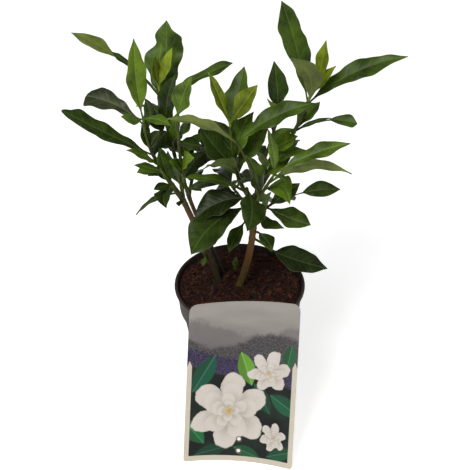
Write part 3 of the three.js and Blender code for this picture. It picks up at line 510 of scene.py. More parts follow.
def leaf(root, row, seed, lobes=()):
    """A leaf on a chord from its root. u runs along it and v from edge to edge.

    The half width rises from the stalk as the sine of a quarter turn to the power BASE_TAPER, and falls to
    the tip as another to the power TIP_TAPER. Two slow sines make each edge waver, and a lobe adds a bell to
    one edge. The midrib bends by 4u(1-u) of the arch and the sweep. The halves rise by FOLD|v| - CURL v^2 of
    the half width, the edges ripple by a sine along u that grows as v^2, and between its side veins the blade
    stands up as a squared sine. It is BLADE thick, less towards the edges by the root of 1 - v^4, and a bell
    across it sinks the midrib above and swells it below.
    """
    tone, _, heading, rise, length, width, widest, roll, arch, sweep, *rest = row
    twist, stalk = rest + [0, STALK][len(rest):]  # the usual ones where the row ends before them
    stalk = stalk / 100
    chance = np.random.default_rng(seed)
    h, r = math.radians(heading), math.radians(rise)
    chord = np.array([math.cos(r) * math.cos(h), math.cos(r) * math.sin(h), math.sin(r)])
    up = unit(np.array([0, 0, 1]) - chord * chord[2])
    side = np.cross(chord, up)

    def rolled(degrees):
        a = np.radians(degrees)[..., None]
        return side * np.cos(a) - up * np.sin(a), up * np.cos(a) + side * np.sin(a)

    stations = int(np.clip(length * 0.75, 12, 46))
    u = np.linspace(0, 1, stations)[:, None]
    v = LEAF_RING[None, :]
    p = widest / 100
    q = np.clip((u - stalk) / (1 - stalk), 0, 1)
    widening = np.sin(math.pi / 2 * np.minimum(q / p, 1)) ** BASE_TAPER
    outline = widening * np.sin(math.pi / 2 * np.minimum((1 - q) / (1 - p), 1)) ** TIP_TAPER
    swing = chance.uniform(0, 2 * math.pi, 4)
    beat, edge_of = length / 60, np.sign(v)
    wave = 0.055 * np.sin(2 * math.pi * 2.1 * beat * u + swing[0] + edge_of * swing[1])
    wave = wave + 0.025 * np.sin(2 * math.pi * 4.3 * beat * u + swing[2] + edge_of * swing[3])
    half = width / 2 * outline * (1 + wave)
    for place, edge, out, spread in lobes:
        half = half + out * bell(u, place, spread) * (edge_of == edge)
    green = step(half, STALK_RADIUS * 0.9, STALK_RADIUS * 2.2)
    half = np.sqrt(np.maximum(half, 0) ** 2 + (STALK_RADIUS * (1 - u) ** 1.5) ** 2) + 0.06
    x = v * half
    phase = heading / 57 + length
    across, normal = rolled(roll + twist * u)
    bend_side, bend_up = rolled(np.array(float(roll)))
    ripple = RIPPLE * min(1, beat) * width * v * v
    ripple = ripple * np.sin(2 * math.pi * RIPPLES * u + phase + v) * np.sin(math.pi * u)
    along = VEINS * (u - (VEIN_SLANT * np.abs(x) + VEIN_BEND * x * x) / length)
    pillow = np.sin(math.pi * along) ** 2 * step(np.abs(x), 0.3, 2.2) * (1 - v**6) * green
    lift = half * (FOLD * np.abs(v) - CURL * v * v) + ripple
    lift = lift + PILLOW * pillow - GROOVE * bell(x, 0, 0.7) * green * (1 - u)
    body = np.sqrt(1 - np.minimum(v**4, 1))
    rib = RIB * bell(x, 0, 0.75) * (1 - u) ** 0.7
    thick = BLADE / 2 + 0.4 * (1 - green)
    above, below = body * thick, body * (thick + rib)
    offset = np.where(UPPER > 0, above, np.where(UPPER < 0, -below, 0))
    bend = (4 * u * (1 - u))[..., None]
    rings = (
        root - chord * ROOT
        + chord * ((length + ROOT) * u)[..., None]
        + (bend_up * arch + bend_side * sweep) * bend
        + across * x[..., None]
        + normal * (lift + offset)[..., None]
    )
    # painted shade: each leaf's tone falls by up to 15 % towards its stalk, in the stem's shade, and rises as
    # much towards its tip; it also differs at random by up to a tenth from leaf to leaf
    shade = 1 + chance.uniform(-0.1, 0.1) + 0.3 * (u - 0.5)
    tones = linear(TONES[tone]) * shade[..., None] * np.ones(rings.shape)
    veins = np.stack([x, along + 0 * x, half + 0 * x], -1)
    face = np.broadcast_to((UPPER[:, None] + 1) / 2, rings.shape[:2] + (1,))
    return skin(rings, tone=tones, veins=veins * green[..., None], face=face)


# ---------- pot ----------
def holed(edge, centre, radius, rings=4):
    """Points between a round hole and a closed edge, on straight lines from the hole's centre, ring by
    ring."""
    hole = centre + unit(edge - centre) * radius
    share = np.linspace(0, 1, rings + 1)[:, None, None]
    return hole + (edge - hole) * share


def rounded(corner, before, after, radius, steps=5):
    """A corner of a profile, rounded: a quadratic curve from radius before the corner to radius past it."""
    start = corner + unit(before - corner) * radius
    end = corner + unit(after - corner) * radius
    t = np.linspace(0, 1, steps + 1)[:, None]
    return start * (1 - t) ** 2 + corner * 2 * t * (1 - t) + end * t * t


def pot_patches():
    """The wall as a profile turned round the axis, with its corners rounded, and the floor as equal sectors,
    each spread round its drain hole."""
    top, lip = POT_HEIGHT, POT_HEIGHT - RIM_LIP
    corners = [
        (FLOOR_RADIUS, 0, 0),
        (BASE_RADIUS, 0, 2.2),
        (BODY_TOP_RADIUS, BAND_BOTTOM - BAND_STEP, 1.2),
        (BAND_BOTTOM_RADIUS, BAND_BOTTOM, 1.1),
        (BAND_TOP_RADIUS, lip, 0.9),
        (RIM_RADIUS, lip, 0.9),
        (RIM_RADIUS, top, 1.3),
        (BAND_TOP_RADIUS - POT_WALL, top, 1.3),
        (BAND_BOTTOM_RADIUS - POT_WALL, BAND_BOTTOM + POT_WALL, 1.0),
        (BODY_TOP_RADIUS - POT_WALL, BAND_BOTTOM - BAND_STEP + POT_WALL, 1.0),
        (BASE_RADIUS - POT_WALL, POT_WALL, 1.8),
        (FLOOR_RADIUS, POT_WALL, 0),
    ]
    flat = np.array(corners)[:, :2]
    rounds = [rounded(flat[i], flat[i - 1], flat[i + 1], corners[i][2]) for i in range(1, len(corners) - 1)]
    profile = np.concatenate([flat[:1], *rounds, flat[-1:]])
    fine = []
    for start, end in zip(profile[:-1], profile[1:]):
        count = max(1, int(np.linalg.norm(end - start) / 4))
        fine.append(start + (end - start) * (np.arange(count) / count)[:, None])
    profile = np.concatenate(fine + [profile[-1:]])
    turn = turns(POT_AROUND)
    r, z = profile[:, :1], profile[:, 1:]
    patches = [band(np.stack([r * np.cos(turn), r * np.sin(turn), z + 0 * turn], -1))]

    part = math.pi / DRAIN_HOLES
    arc = np.linspace(-part, part, POT_AROUND // DRAIN_HOLES + 1)
    spoke = np.arange(0, FLOOR_RADIUS, FLOOR_RADIUS / 9)[:9, None]
    low = spoke * [math.cos(part), -math.sin(part)]
    high = (spoke * [math.cos(part), math.sin(part)])[:0:-1]
    rim = np.stack([np.cos(arc), np.sin(arc)], -1) * FLOOR_RADIUS
    edge = np.concatenate([low, rim, high])
    sheet = holed(edge, np.array([DRAIN_CIRCLE_RADIUS, 0.0]), DRAIN_HOLE_RADIUS)
    rows, columns = sheet.shape[:2]
    for number in range(DRAIN_HOLES):
        a = (number + 0.5) / DRAIN_HOLES * 2 * math.pi
        turned = sheet @ np.array([[math.cos(a), math.sin(a)], [-math.sin(a), math.cos(a)]])
        under = np.concatenate([turned, np.zeros((rows, columns, 1))], -1)
        over = under + [0, 0, POT_WALL]
        patches += [band(under), band(over, flip=True), band(np.stack([under[0], over[0]]), flip=True)]
    return patches


# ---------- soil ----------
def soil_height(x, y):
    """Two crossing waves, a heap round each stem that falls as a bell, and lumps of three sizes."""
    wave = np.sin(x / 9 + 1) * np.cos(y / 11) + 0.5 * np.sin(x / 4.3 - y / 5.1)
    heap = sum(SOIL_HEAP * np.exp(-((x - a) ** 2 + (y - b) ** 2) / 50) for a, b in STANDING)
    rough = 1.5 * lumps(x, y, 8, 1) + 0.9 * lumps(x, y, 3.4, 2) + 0.5 * lumps(x, y, 1.5, 3)
    return SOIL_LEVEL + SOIL_WAVE * wave + heap + rough - 0.6


def soil_patch():
    """A filling for the pot: rings from the middle of its floor, up along the wall, and over the rough
    top."""
    inset = POT_WALL + CLEARANCE
    inner = np.array([
        [1, inset],
        [BASE_RADIUS - inset - 1, inset],
        [BASE_RADIUS - inset, inset + 1],
        [BODY_TOP_RADIUS - inset - 0.2, BAND_BOTTOM - 2],
        [BAND_BOTTOM_RADIUS - inset - 0.2, BAND_BOTTOM + 2.5],
    ])
    turn = turns(SOIL_AROUND)
    radius = np.concatenate([inner[:, 0], SOIL_EDGE * np.linspace(1, 0.004, SOIL_RINGS)])[:, None] + 0 * turn
    x, y = radius * np.cos(turn), radius * np.sin(turn)
    top = soil_height(x, y) - 0.8 * bell(radius, SOIL_EDGE, 1.2)
    z = np.concatenate([inner[:, 1:] + 0 * turn, top[len(inner):]])
    return skin(np.stack([x, y, z], -1))


def scattered(count, chance, reach):
    """Points spread evenly over a disc."""
    distance = reach * np.sqrt(chance.uniform(0, 1, count))
    turn = chance.uniform(0, 2 * math.pi, count)
    return distance * np.cos(turn), distance * np.sin(turn)


def crumbs_patch():
    """Lumps and chips on the soil: round lumps of three rings, squeezed, knocked out of shape and turned
    about, each with its foot in the soil."""
    chance = np.random.default_rng(11)
    x, y = scattered(CRUMBS, chance, SOIL_EDGE - 1.5)
    tilt = np.linspace(-1, 1, 5)[1:-1] * 1.15
    tilt, turn = tilt[:, None], turns(6)
    ball = [np.cos(tilt) * np.cos(turn), np.cos(tilt) * np.sin(turn), np.sin(tilt) + 0 * turn]
    lump = skin(np.stack(ball, -1))
    points = lump["points"]
    size = chance.gamma(2.5, 0.42, CRUMBS)[:, None] + CRUMB_LEAST
    axes = size * chance.uniform([0.8, 0.4, 0.25], [1.5, 0.9, 0.55], (CRUMBS, 3))
    shaped = points[None] * axes[:, None] * (1 + chance.uniform(-0.28, 0.28, (CRUMBS, len(points), 1)))
    a, b = chance.uniform(0, 2 * math.pi, CRUMBS), chance.normal(0, 0.35, CRUMBS)
    px = shaped[..., 0] * np.cos(b)[:, None] - shaped[..., 2] * np.sin(b)[:, None]
    pz = shaped[..., 0] * np.sin(b)[:, None] + shaped[..., 2] * np.cos(b)[:, None]
    placed = np.stack([
        x[:, None] + px * np.cos(a)[:, None] - shaped[..., 1] * np.sin(a)[:, None],
        y[:, None] + px * np.sin(a)[:, None] + shaped[..., 1] * np.cos(a)[:, None],
        (soil_height(x, y) + axes[:, 2] * 0.35)[:, None] + pz], -1)
    shades = [[38, 22, 16], [58, 29, 20], [26, 17, 14], [76, 38, 26], [60, 44, 26], [90, 50, 32]]
    odds = [0.3, 0.25, 0.2, 0.13, 0.08, 0.04]
    return copies(placed, lump["quads"], lump["triangles"], shades, odds, chance)


def fibres_patch():
    """Coir fibres: thin threads of four sides along arcs of random bend, which lie on the soil and lift at
    their ends."""
    chance = np.random.default_rng(23)
    x, y = scattered(FIBRES, chance, SOIL_EDGE - 4)
    rows, around = 10, 4
    s = np.linspace(-0.5, 0.5, rows)[None]
    length = chance.uniform(*FIBRE_LENGTHS, FIBRES)[:, None]
    heading = chance.uniform(0, 2 * math.pi, FIBRES)[:, None]
    angle = heading + chance.normal(0, 1.5, FIBRES)[:, None] * s + 0.5 * np.sin(9 * s + heading)
    stride = length / (rows - 1)
    px = x[:, None] + np.cumsum(np.cos(angle) * stride, 1)
    py = y[:, None] + np.cumsum(np.sin(angle) * stride, 1)
    inside = np.minimum(1, (SOIL_EDGE - 1.2) / np.hypot(px, py))
    px, py = px * inside, py * inside
    thick = chance.uniform(*FIBRE_RADII, FIBRES)[:, None] * (1 - 0.5 * np.abs(2 * s) ** 3)
    pz = soil_height(px, py) + 0.35 + chance.uniform(0, 5, FIBRES)[:, None] * s * s
    turn = turns(around)
    side = np.stack([-np.sin(angle), np.cos(angle), 0 * angle], -1)[:, :, None]
    rings = np.stack([px, py, pz], -1)[:, :, None] + thick[..., None, None] * (
        side * np.cos(turn)[:, None] + np.array([0, 0, 1]) * np.sin(turn)[:, None])
    ends = [[3, 2, 1, 0], np.arange(around) + around * (rows - 1)]
    faces = np.concatenate([grid_faces(rows, around, wrap=True), ends])
    shades = [[78, 37, 26], [58, 29, 21], [94, 48, 32], [46, 25, 19], [108, 68, 44]]
    rings = rings.reshape(FIBRES, rows * around, 3)
    return copies(rings, faces, np.zeros((0, 3), int), shades, [0.3, 0.3, 0.18, 0.15, 0.07], chance)


# ---------- card ----------
CARD_FORWARD = np.array([math.sin(CARD_YAW), -math.cos(CARD_YAW), 0])
CARD_RIGHT = np.array([math.cos(CARD_YAW), math.sin(CARD_YAW), 0])


def card_points(side, along):
    """Places on the card's front: side is from its middle and along from its foot. It leans back by
    CARD_LEAN, its edges come forward by CARD_BOW times the square of the share across, and it turns by
    CARD_TWIST in step with the share of its length."""
    out = CARD_FOOT - along * math.sin(CARD_LEAN) + CARD_BOW * (side / (CARD_WIDTH / 2)) ** 2
    across = side + CARD_SHIFT
    out = out - across * math.tan(CARD_TWIST) * along / CARD_LENGTH
    up = np.stack([0 * along, 0 * along, along * math.cos(CARD_LEAN)], -1)
    return CARD_FORWARD * out[..., None] + CARD_RIGHT * across[..., None] + up


def card_patches():
    """A sheet of two faces and an edge. Its foot rises and its top drops at the corners by their roundings,
    of CARD_FOOT_CORNER and CARD_CORNER. The grid is closest at the corners, and two of its cells, each four
    spacings square, are spread round the punched holes."""
    cell, thickness = CARD_CELL, CARD_FORWARD * CARD_THICKNESS
    bend = np.linspace(0, math.pi / 2, 7)[1:]
    flat = CARD_WIDTH / 2 - CARD_CORNER
    outer = np.concatenate([np.linspace(2 * cell, flat, 15)[1:], flat + CARD_CORNER * np.sin(bend)])
    s = np.concatenate([-outer[::-1], np.arange(-2, 3) * cell, outer])
    first = CARD_HOLES[0] - 2 * cell
    t = np.concatenate([np.linspace(0, first, 3)[:-1], first + np.arange(9) * cell])
    t = np.concatenate([t, np.linspace(t[-1], CARD_LENGTH, 48)[1:]])
    rise, drop = (
        radius - np.sqrt(np.maximum(0, radius**2 - np.maximum(0, np.abs(s) - CARD_WIDTH / 2 + radius) ** 2))
        for radius in (CARD_FOOT_CORNER, CARD_CORNER)
    )
    side = s[None] + 0 * t[:, None]
    front = card_points(side, rise + t[:, None] * (1 - (rise + drop) / CARD_LENGTH))
    back = front - thickness
    rows, columns = side.shape
    quads = grid_faces(rows, columns)
    i, j = quads[:, 0] // columns, quads[:, 0] % columns
    left, low = len(outer), 2
    kept = quads[~((j >= left) & (j < left + 4) & (i >= low) & (i < low + 8))]
    border = np.concatenate([
        np.arange(columns), columns * np.arange(1, rows) + columns - 1,
        columns * (rows - 1) + np.arange(columns - 2, -1, -1), columns * np.arange(rows - 2, 0, -1)])
    edge = np.stack([back.reshape(-1, 3)[border], front.reshape(-1, 3)[border]])
    patches = [patch(front, kept), patch(back, kept[:, ::-1]), band(edge)]
    walk, end = np.arange(-2, 2) * cell, np.full(4, 2 * cell)
    square = np.concatenate([
        np.stack(line, -1) for line in ((walk, -end), (end, walk), (-walk, end), (-end, -walk))])
    for height in CARD_HOLES:
        ring = holed(square, np.zeros(2), CARD_HOLE_RADIUS)
        near = card_points(ring[..., 0], ring[..., 1] + height)
        far = near - thickness
        patches += [band(near, flip=True), band(far), band(np.stack([near[0], far[0]]), flip=True)]
    return patches


# ---------- finishes ----------
class Value:
    """An output socket of a finish, with the arithmetic that adds its Math node."""

    def __init__(self, finish, socket):
        self.finish = finish
        self.socket = socket

    def calc(self, operation, *values):
        return self.finish.node("ShaderNodeMath", {"operation": operation}, dict(enumerate(values)))

    def __rsub__(self, other):
        return self.calc("SUBTRACT", other, self)

    def step(self, low, high):
        """Nought below low and one above high, with a smooth rise between. It falls where low is the
        higher."""
        if low > high:
            return 1 - self.step(high, low)
        inputs = {"Value": self, "From Min": low, "From Max": high}
        return self.finish.node("ShaderNodeMapRange", {"interpolation_type": "SMOOTHSTEP"}, inputs)


# What each method of a Value calculates. turn_from is the angle of the point (other, self) about nought.
for method, operation in {
    "__add__": "ADD", "__radd__": "ADD", "__sub__": "SUBTRACT", "__mul__": "MULTIPLY", "__rmul__": "MULTIPLY",
    "__truediv__": "DIVIDE", "__pow__": "POWER", "sin": "SINE", "abs": "ABSOLUTE", "root": "SQRT",
    "fraction": "FRACT", "least": "MINIMUM", "most": "MAXIMUM", "turn_from": "ARCTAN2",
}.items():
    setattr(Value, method, lambda self, *others, operation=operation: self.calc(operation, self, *others))


class Finish:
    """A material in the making: it adds nodes and ends in one Principled surface."""

    def __init__(self, name):
        self.material = bpy.data.materials.new(name)
        self.material.use_nodes = True
        self.tree = self.material.node_tree
        self.tree.nodes.clear()
        self.place = self.node("ShaderNodeTexCoord", {}, {}, output="Object")

    def node(self, kind, settings, inputs, output=0):
        """A node of that kind, its settings made first, its sockets by name or number."""
        node = self.tree.nodes.new(kind)
        for name, value in settings.items():
            setattr(node, name, value)
        for name, value in inputs.items():
            if isinstance(value, Value):
                self.tree.links.new(value.socket, node.inputs[name])
            else:
                node.inputs[name].default_value = value
        return Value(self, node.outputs[output])

    def mark(self, name, output="Fac"):
        return self.node("ShaderNodeAttribute", {"attribute_name": name}, {}, output)

    def parts(self, vector):
        """The three parts of a vector."""
        first = self.node("ShaderNodeSeparateXYZ", {}, {0: vector})
        outputs = first.socket.node.outputs
        return first, Value(self, outputs[1]), Value(self, outputs[2])

    def stretched(self, stretch):
        return self.node("ShaderNodeMapping", {}, {"Vector": self.place, "Scale": stretch})

    def noise(self, scale, detail=2.0, roughness=0.5, stretch=(1, 1, 1), distortion=0.0):
        """Noise from 0 to 1 over the object's own place, in features per metre."""
        inputs = {"Vector": self.stretched(stretch), "Scale": scale, "Detail": detail, "Roughness": roughness,
                  "Distortion": distortion}
        return self.node("ShaderNodeTexNoise", {}, inputs, "Fac")

    def cells(self, scale, stretch=(1, 1, 1)):
        """The distance to the nearest of many scattered points, in features per metre."""
        inputs = {"Vector": self.stretched(stretch), "Scale": scale}
        return self.node("ShaderNodeTexVoronoi", {}, inputs, "Distance")

    def mix(self, share, first, second):
        """Two colours mixed, each a socket or red, green and blue out of 255."""
        colours = [c if isinstance(c, Value) else (*linear(c), 1) for c in (first, second)]
        return self.node("ShaderNodeMix", {"data_type": "RGBA"}, {0: share, 6: colours[0], 7: colours[1]}, 2)

    def bright(self, colour, share):
        """A colour made lighter or darker by a share of its own value."""
        grey = self.node("ShaderNodeCombineXYZ", {}, {0: share, 1: share, 2: share})
        return self.node("ShaderNodeVectorMath", {"operation": "MULTIPLY"}, {0: colour, 1: grey})

    def surface(self, colour, roughness, height=None, depth=0.0003, strength=1.0, **fixed):
        """The Principled surface, with its bump from a height and its fixed values by socket name."""
        inputs = {"Base Color": colour, "Roughness": roughness}
        if height is not None:
            inputs["Normal"] = self.node(
                "ShaderNodeBump", {}, {"Height": height, "Distance": depth, "Strength": strength})
        inputs.update({name.replace("_", " "): value for name, value in fixed.items()})
        shader = self.node("ShaderNodeBsdfPrincipled", {}, inputs)
        end = self.tree.nodes.new("ShaderNodeOutputMaterial")
        self.tree.links.new(shader.socket, end.inputs["Surface"])
        return self.material


def leaf_finish(name, gloss, vein, pillow_depth, sheen):
    """Waxy leaf: each leaf's own tone, mottled and laid with broad patches of painted light and shade, with a
    pale midrib, edge and faint side veins, and a duller and greyer underside. Where a point has no width it
    is stem, and only mottled and painted with those patches."""
    f = Finish(name)
    x, along, half = f.parts(f.mark("veins", "Vector"))
    face, tone = f.mark("face"), f.mark("tone", "Color")
    away = x.abs()
    blade = half.step(0.9, 2.4)
    share = away / half.most(0.2)
    near_vein = (along.fraction() - 0.5).abs() * 2
    midrib = away.step(0.9, 0.2) * blade
    side_vein = near_vein.step(0.72, 0.98) * share.step(0.95, 0.55) * away.step(0.2, 1.2) * blade
    mottle, speck = f.noise(95, 3, 0.6), f.noise(1300, 2, 0.6)
    # broad patches of painted light and shade, about 24 mm across, over each leaf's tone
    painted_light_patches = f.noise(42, 2).step(0.3, 0.7)
    colour = f.bright(tone, 0.3 + 0.85 * painted_light_patches + 0.5 * mottle.step(0.3, 0.7) + 0.1 * speck)
    pale = f.mix(0.5, f.bright(tone, 1.9), (150, 166, 96))
    colour = f.mix(side_vein * vein * 0.3, colour, pale)
    colour = f.mix(midrib * vein, colour, pale)
    colour = f.mix(share.step(0.93, 1.0) * blade * 0.35, colour, pale)
    beneath = (1 - face) * blade
    colour = f.mix(beneath * 0.5, colour, f.mix(mottle, (78, 90, 44), (106, 116, 62)))
    rough = gloss + 0.16 * mottle + 0.2 * beneath
    pillow = pillow_depth * (1 - near_vein**3) * share.step(1, 0.6) * blade
    height = pillow - midrib * 0.8 * face + speck * 0.12
    return f.surface(colour, rough, height, 0.00025, 0.9, Specular_IOR_Level=sheen)


def bark_finish():
    """Thin bark in long fibres, with pale corky specks and dull green patches."""
    f = Finish("thin_bark")
    tone = f.mark("tone", "Color")
    fibre = f.noise(1500, 4, 0.65, (1, 1, 0.12))
    patchy = f.noise(140, 3, 0.6)
    cork = f.cells(520, stretch=(1, 1, 0.55)).step(0.3, 0.16)
    colour = f.bright(tone, 0.3 + 0.9 * fibre + 0.55 * patchy)
    colour = f.mix(cork * 0.25, colour, (138, 112, 66))
    colour = f.mix(patchy.step(0.62, 0.8) * 0.4, colour, (52, 56, 24))
    return f.surface(colour, 0.6 + 0.3 * fibre, fibre * 0.8 + cork * 0.5, 0.0003, Specular_IOR_Level=0.3)


def soil_finish():
    """Moist peat and coir: dark grains between red-brown shreds, and wetter patches."""
    f = Finish("peat")
    shred = f.noise(420, 5, 0.7, distortion=1.6)
    grain = f.cells(650)
    damp = f.noise(45, 2)
    colour = f.mix(shred.step(0.36, 0.66), (26, 13, 9), (66, 33, 22))
    colour = f.mix(damp.step(0.4, 0.65) * 0.5, colour, (34, 17, 12))
    colour = f.mix(grain.step(0.5, 0.75) * 0.5, colour, (12, 8, 7))
    return f.surface(colour, 0.8 + 0.2 * shred, shred + 0.6 * (1 - grain), 0.0012, Specular_IOR_Level=0.2)


def shreds_finish(name, scale):
    """Loose bits of bark and coir, each in its own tone and streaked."""
    f = Finish(name)
    streak = f.noise(scale, 4, 0.7, (1, 1, 0.4))
    colour = f.bright(f.mark("tone", "Color"), 0.25 + 1.5 * streak.step(0.25, 0.75))
    return f.surface(colour, 0.75 + 0.25 * streak, streak, 0.0004, Specular_IOR_Level=0.25)


def pot_finish():
    """Thin moulded plastic: dull outside with a fine grain, scuffs, faint rings from its mould and dust at
    its foot, and dark brown inside and on the inner half of the lip, as soil stain and painted shade."""
    f = Finish("nursery_plastic")
    x, y, z = f.parts(f.place)
    radius = (x * x + y * y).root() * 1000
    high = z * 1000
    grain, cloud = f.noise(2600, 2), f.noise(38, 4, 0.6)
    scuff = f.noise(260, 5, 0.75, (0.25, 0.25, 3)).step(0.58, 0.72)
    rings = (high * 2.1 + cloud * 3).sin()
    # the inside and the inner half of the lip are darkened brown as soil stain and painted shade
    within = (radius - high * (BAND_TOP_RADIUS - BASE_RADIUS) / POT_HEIGHT - BASE_RADIUS).step(-0.2, -2.0)
    lip = high.step(POT_HEIGHT - 1.6, POT_HEIGHT - 0.6) * radius.step(RIM_RADIUS - 1.2, RIM_RADIUS - 2.6)
    stain_and_shade = (lip.most(within) * (0.6 + 0.6 * cloud)).least(1)
    colour = f.mix(cloud, (58, 54, 49), (70, 66, 60))
    colour = f.mix(scuff * 0.3, colour, (98, 93, 86))
    colour = f.mix(stain_and_shade, colour, (34, 24, 20))
    colour = f.mix(high.step(14, 0) * cloud * 0.3, colour, (96, 86, 74))
    rough = 0.5 + 0.2 * cloud + 0.2 * stain_and_shade + 0.1 * scuff
    height = grain * 0.35 + rings * 0.12 - scuff * 0.3
    return f.surface(colour, rough, height, 0.0002, 0.8, Specular_IOR_Level=0.1)


def card_finish():
    """A coated card printed on its front: grey mist over two hills, a violet hedge along a slope, and white
    blossoms of three sizes among plain leaves on deep green, with a cream border round the lower part and a
    grey ring round each hole. Its back and edges are plain."""
    f = Finish("printed_card")
    x, y, z = f.parts(f.place)
    along = z * (1000 / math.cos(CARD_LEAN))
    across = x * (1000 * CARD_RIGHT[0]) + y * (1000 * CARD_RIGHT[1])
    out = x * (1000 * CARD_FORWARD[0]) + y * (1000 * CARD_FORWARD[1])
    side = across - CARD_SHIFT
    bow = side * side * (CARD_BOW / (CARD_WIDTH / 2) ** 2)
    bow = bow - across * along * (math.tan(CARD_TWIST) / CARD_LENGTH)
    depth = CARD_FOOT - along * math.sin(CARD_LEAN) + bow - out
    front = depth.step(CARD_THICKNESS * 0.7, CARD_THICKNESS * 0.3)
    cloud, fleck, ridge = f.noise(40, 3), f.noise(900, 3, 0.6), f.noise(60, 4, 0.7)

    def petals(middle_side, middle_along, reach, count, turn):
        """(inside, share out to the edge, share across a petal) of a ring of long rounded petals."""
        dx = side - middle_side + (ridge - 0.5) * 9
        dy = along - middle_along + (cloud - 0.5) * 9
        far = (dx * dx + dy * dy).root()
        swell = (dy.turn_from(dx) * (count / 2) + turn).sin().abs() ** 0.7
        share = far / (reach * (0.5 + 0.5 * swell))
        return share.step(1.03, 0.98), share, swell

    def blossom(colour, middle_side, middle_along, reach, turn):
        for size, count, lean in ((1.0, 6, 0.0), (0.72, 5, 0.9), (0.46, 5, 0.4), (0.27, 4, 1.3)):
            inside, share, swell = petals(middle_side, middle_along, reach * size, count, turn + lean)
            petal = f.mix(share.step(0.2, 0.9), (160, 149, 136), (212, 203, 193))
            petal = f.mix((1 - swell) ** 2 * 0.7, petal, (140, 130, 118))
            colour = f.mix(inside, colour, f.mix(ridge.step(0.4, 0.75) * 0.4, petal, (224, 217, 208)))
        inside, share, _ = petals(middle_side, middle_along, reach * 0.13, 3, turn)
        return f.mix(inside, colour, f.mix(share, (178, 146, 84), (208, 190, 150)))

    def spray_leaf(colour, middle_side, middle_along, heading, length, width, tone):
        c, s = math.cos(math.radians(heading)), math.sin(math.radians(heading))
        a = (side - middle_side) * (c / length) + (along - middle_along) * (s / length)
        b = (side - middle_side) * (-s / width) + (along - middle_along) * (c / width)
        inside = (a * a + b.abs()).step(1.04, 0.96)
        green = f.mix(b.abs().step(0.0, 0.12) * 0.8 + 0.2, tuple(min(255, t + 46) for t in tone), tone)
        return f.mix(inside, colour, f.mix(b.step(-0.2, 0.2) * 0.35, green, (30, 42, 28)))

    mist = f.noise(22, 4, 0.6, (1, 1, 5))
    colour = f.mix(along.step(100, 160) * 0.5 + mist * 0.5, (106, 101, 98), (174, 168, 160))
    far_hill = along - 122 + (side * 0.045 + 1.2).sin() * 9 - ridge * 18
    colour = f.mix(far_hill.step(3, -3) * 0.6, colour, f.mix(fleck, (82, 77, 79), (122, 116, 114)))
    near_hill = along - 108 - (side * 0.06 - 0.4).sin() * 6 - ridge * 20
    wood = f.mix(fleck.step(0.35, 0.65), (34, 32, 38), (92, 88, 90))
    colour = f.mix(near_hill.step(3, -3) * 0.88, colour, wood)
    slope = along - 84 + side * 0.16 - (side * 0.09).sin() * 3
    crest = slope - (side * 0.62 + fleck).sin().abs() * 3.4 - cloud * 5
    hedge = f.mix(fleck.step(0.4, 0.65), (40, 35, 48), (84, 74, 108))
    colour = f.mix(crest.step(12.6, 11.4), colour, hedge)
    field = f.mix(cloud.step(0.35, 0.7), (18, 22, 19), (28, 44, 34))
    colour = f.mix(slope.step(0.6, -0.6), colour, field)
    for row in (
        (-36, 86, 60, 20, 9, (24, 86, 62)), (4, 90, 110, 17, 8, (104, 158, 52)),
        (-44, 30, 130, 17, 8, (30, 104, 56)), (42, 58, -30, 17, 8, (26, 90, 60)),
        (20, 62, -60, 16, 7, (22, 70, 50)), (40, 12, 20, 14, 6, (28, 84, 54)),
        (-26, 10, 195, 17, 6, (22, 62, 44)), (8, 9, -20, 14, 6, (30, 92, 56)),
        (44, 104, 80, 12, 6, (40, 96, 56)),
    ):
        colour = spray_leaf(colour, *row)
    for row in ((-11, 49, 37, 0.3), (25, 88, 20, 1.1), (32, 26, 13, 0.7)):
        colour = blossom(colour, *row)
    edge = 49.7 - side.abs()
    sides = edge.step(2.6, 2.1) * (along + edge.abs() * 2.4 - 100).step(0.5, -0.5)
    frame = sides.most(along.step(5.4, 4.9))
    colour = f.mix(frame, colour, (209, 199, 181))
    for height in CARD_HOLES:
        far = (side * side + (along - height) * (along - height)).root()
        ring = far.step(CARD_HOLE_RADIUS + 1.3, CARD_HOLE_RADIUS + 0.8)
        colour = f.mix(ring * 0.8, colour, (118, 106, 96))
    colour = f.mix(front, f.mix(cloud, (203, 195, 181), (212, 205, 192)), colour)
    colour = f.bright(colour, 0.94 + 0.1 * cloud)
    return f.surface(colour, 0.34 + 0.12 * cloud + 0.06 * fleck, fleck, 0.00006, 0.5, Specular_IOR_Level=0.4)


def floor_finish():
    """Plain pale ground, with a glow of its own so that it stays white under soft light."""
    f = Finish("pale_floor")
    shade = f.noise(6, 3)
    colour = f.mix(shade, (246, 246, 246), (252, 252, 252))
    glow = {"Emission_Color": (1, 1, 1, 1), "Emission_Strength": 0.65}
    return f.surface(colour, 0.9 + 0.05 * shade, Specular_IOR_Level=0.1, **glow)


# ---------- assembly ----------
STANDING = [part["at"] for part in SHOOTS if part.get("parent") == "soil"]
FINISHES = {
    "leaf": leaf_finish("mature_leaf", 0.34, 0.3, 0.6, 0.17),
    "young_leaf": leaf_finish("young_leaf", 0.3, 0.42, 0.8, 0.25),
    "new_leaf": leaf_finish("new_leaf", 0.36, 0.36, 0.6, 0.22),
    "bark": bark_finish(),
}
SHOOT_SLOTS = {"brown": ("bark", "bark"), "green": ("leaf", "spray"), "bright": ("young_leaf", "spray")}
TIP_SLOTS = {"bright": ("young_leaf", "leaves"), "lime": ("new_leaf", "leaves")}


def hand_in(piece, slot, *nodes):
    """A piece that stands for CAD nodes, put on the one body, with those nodes hidden. Its slot is not used.
    """
    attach(piece, "root")
    if nodes:
        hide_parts(*nodes)


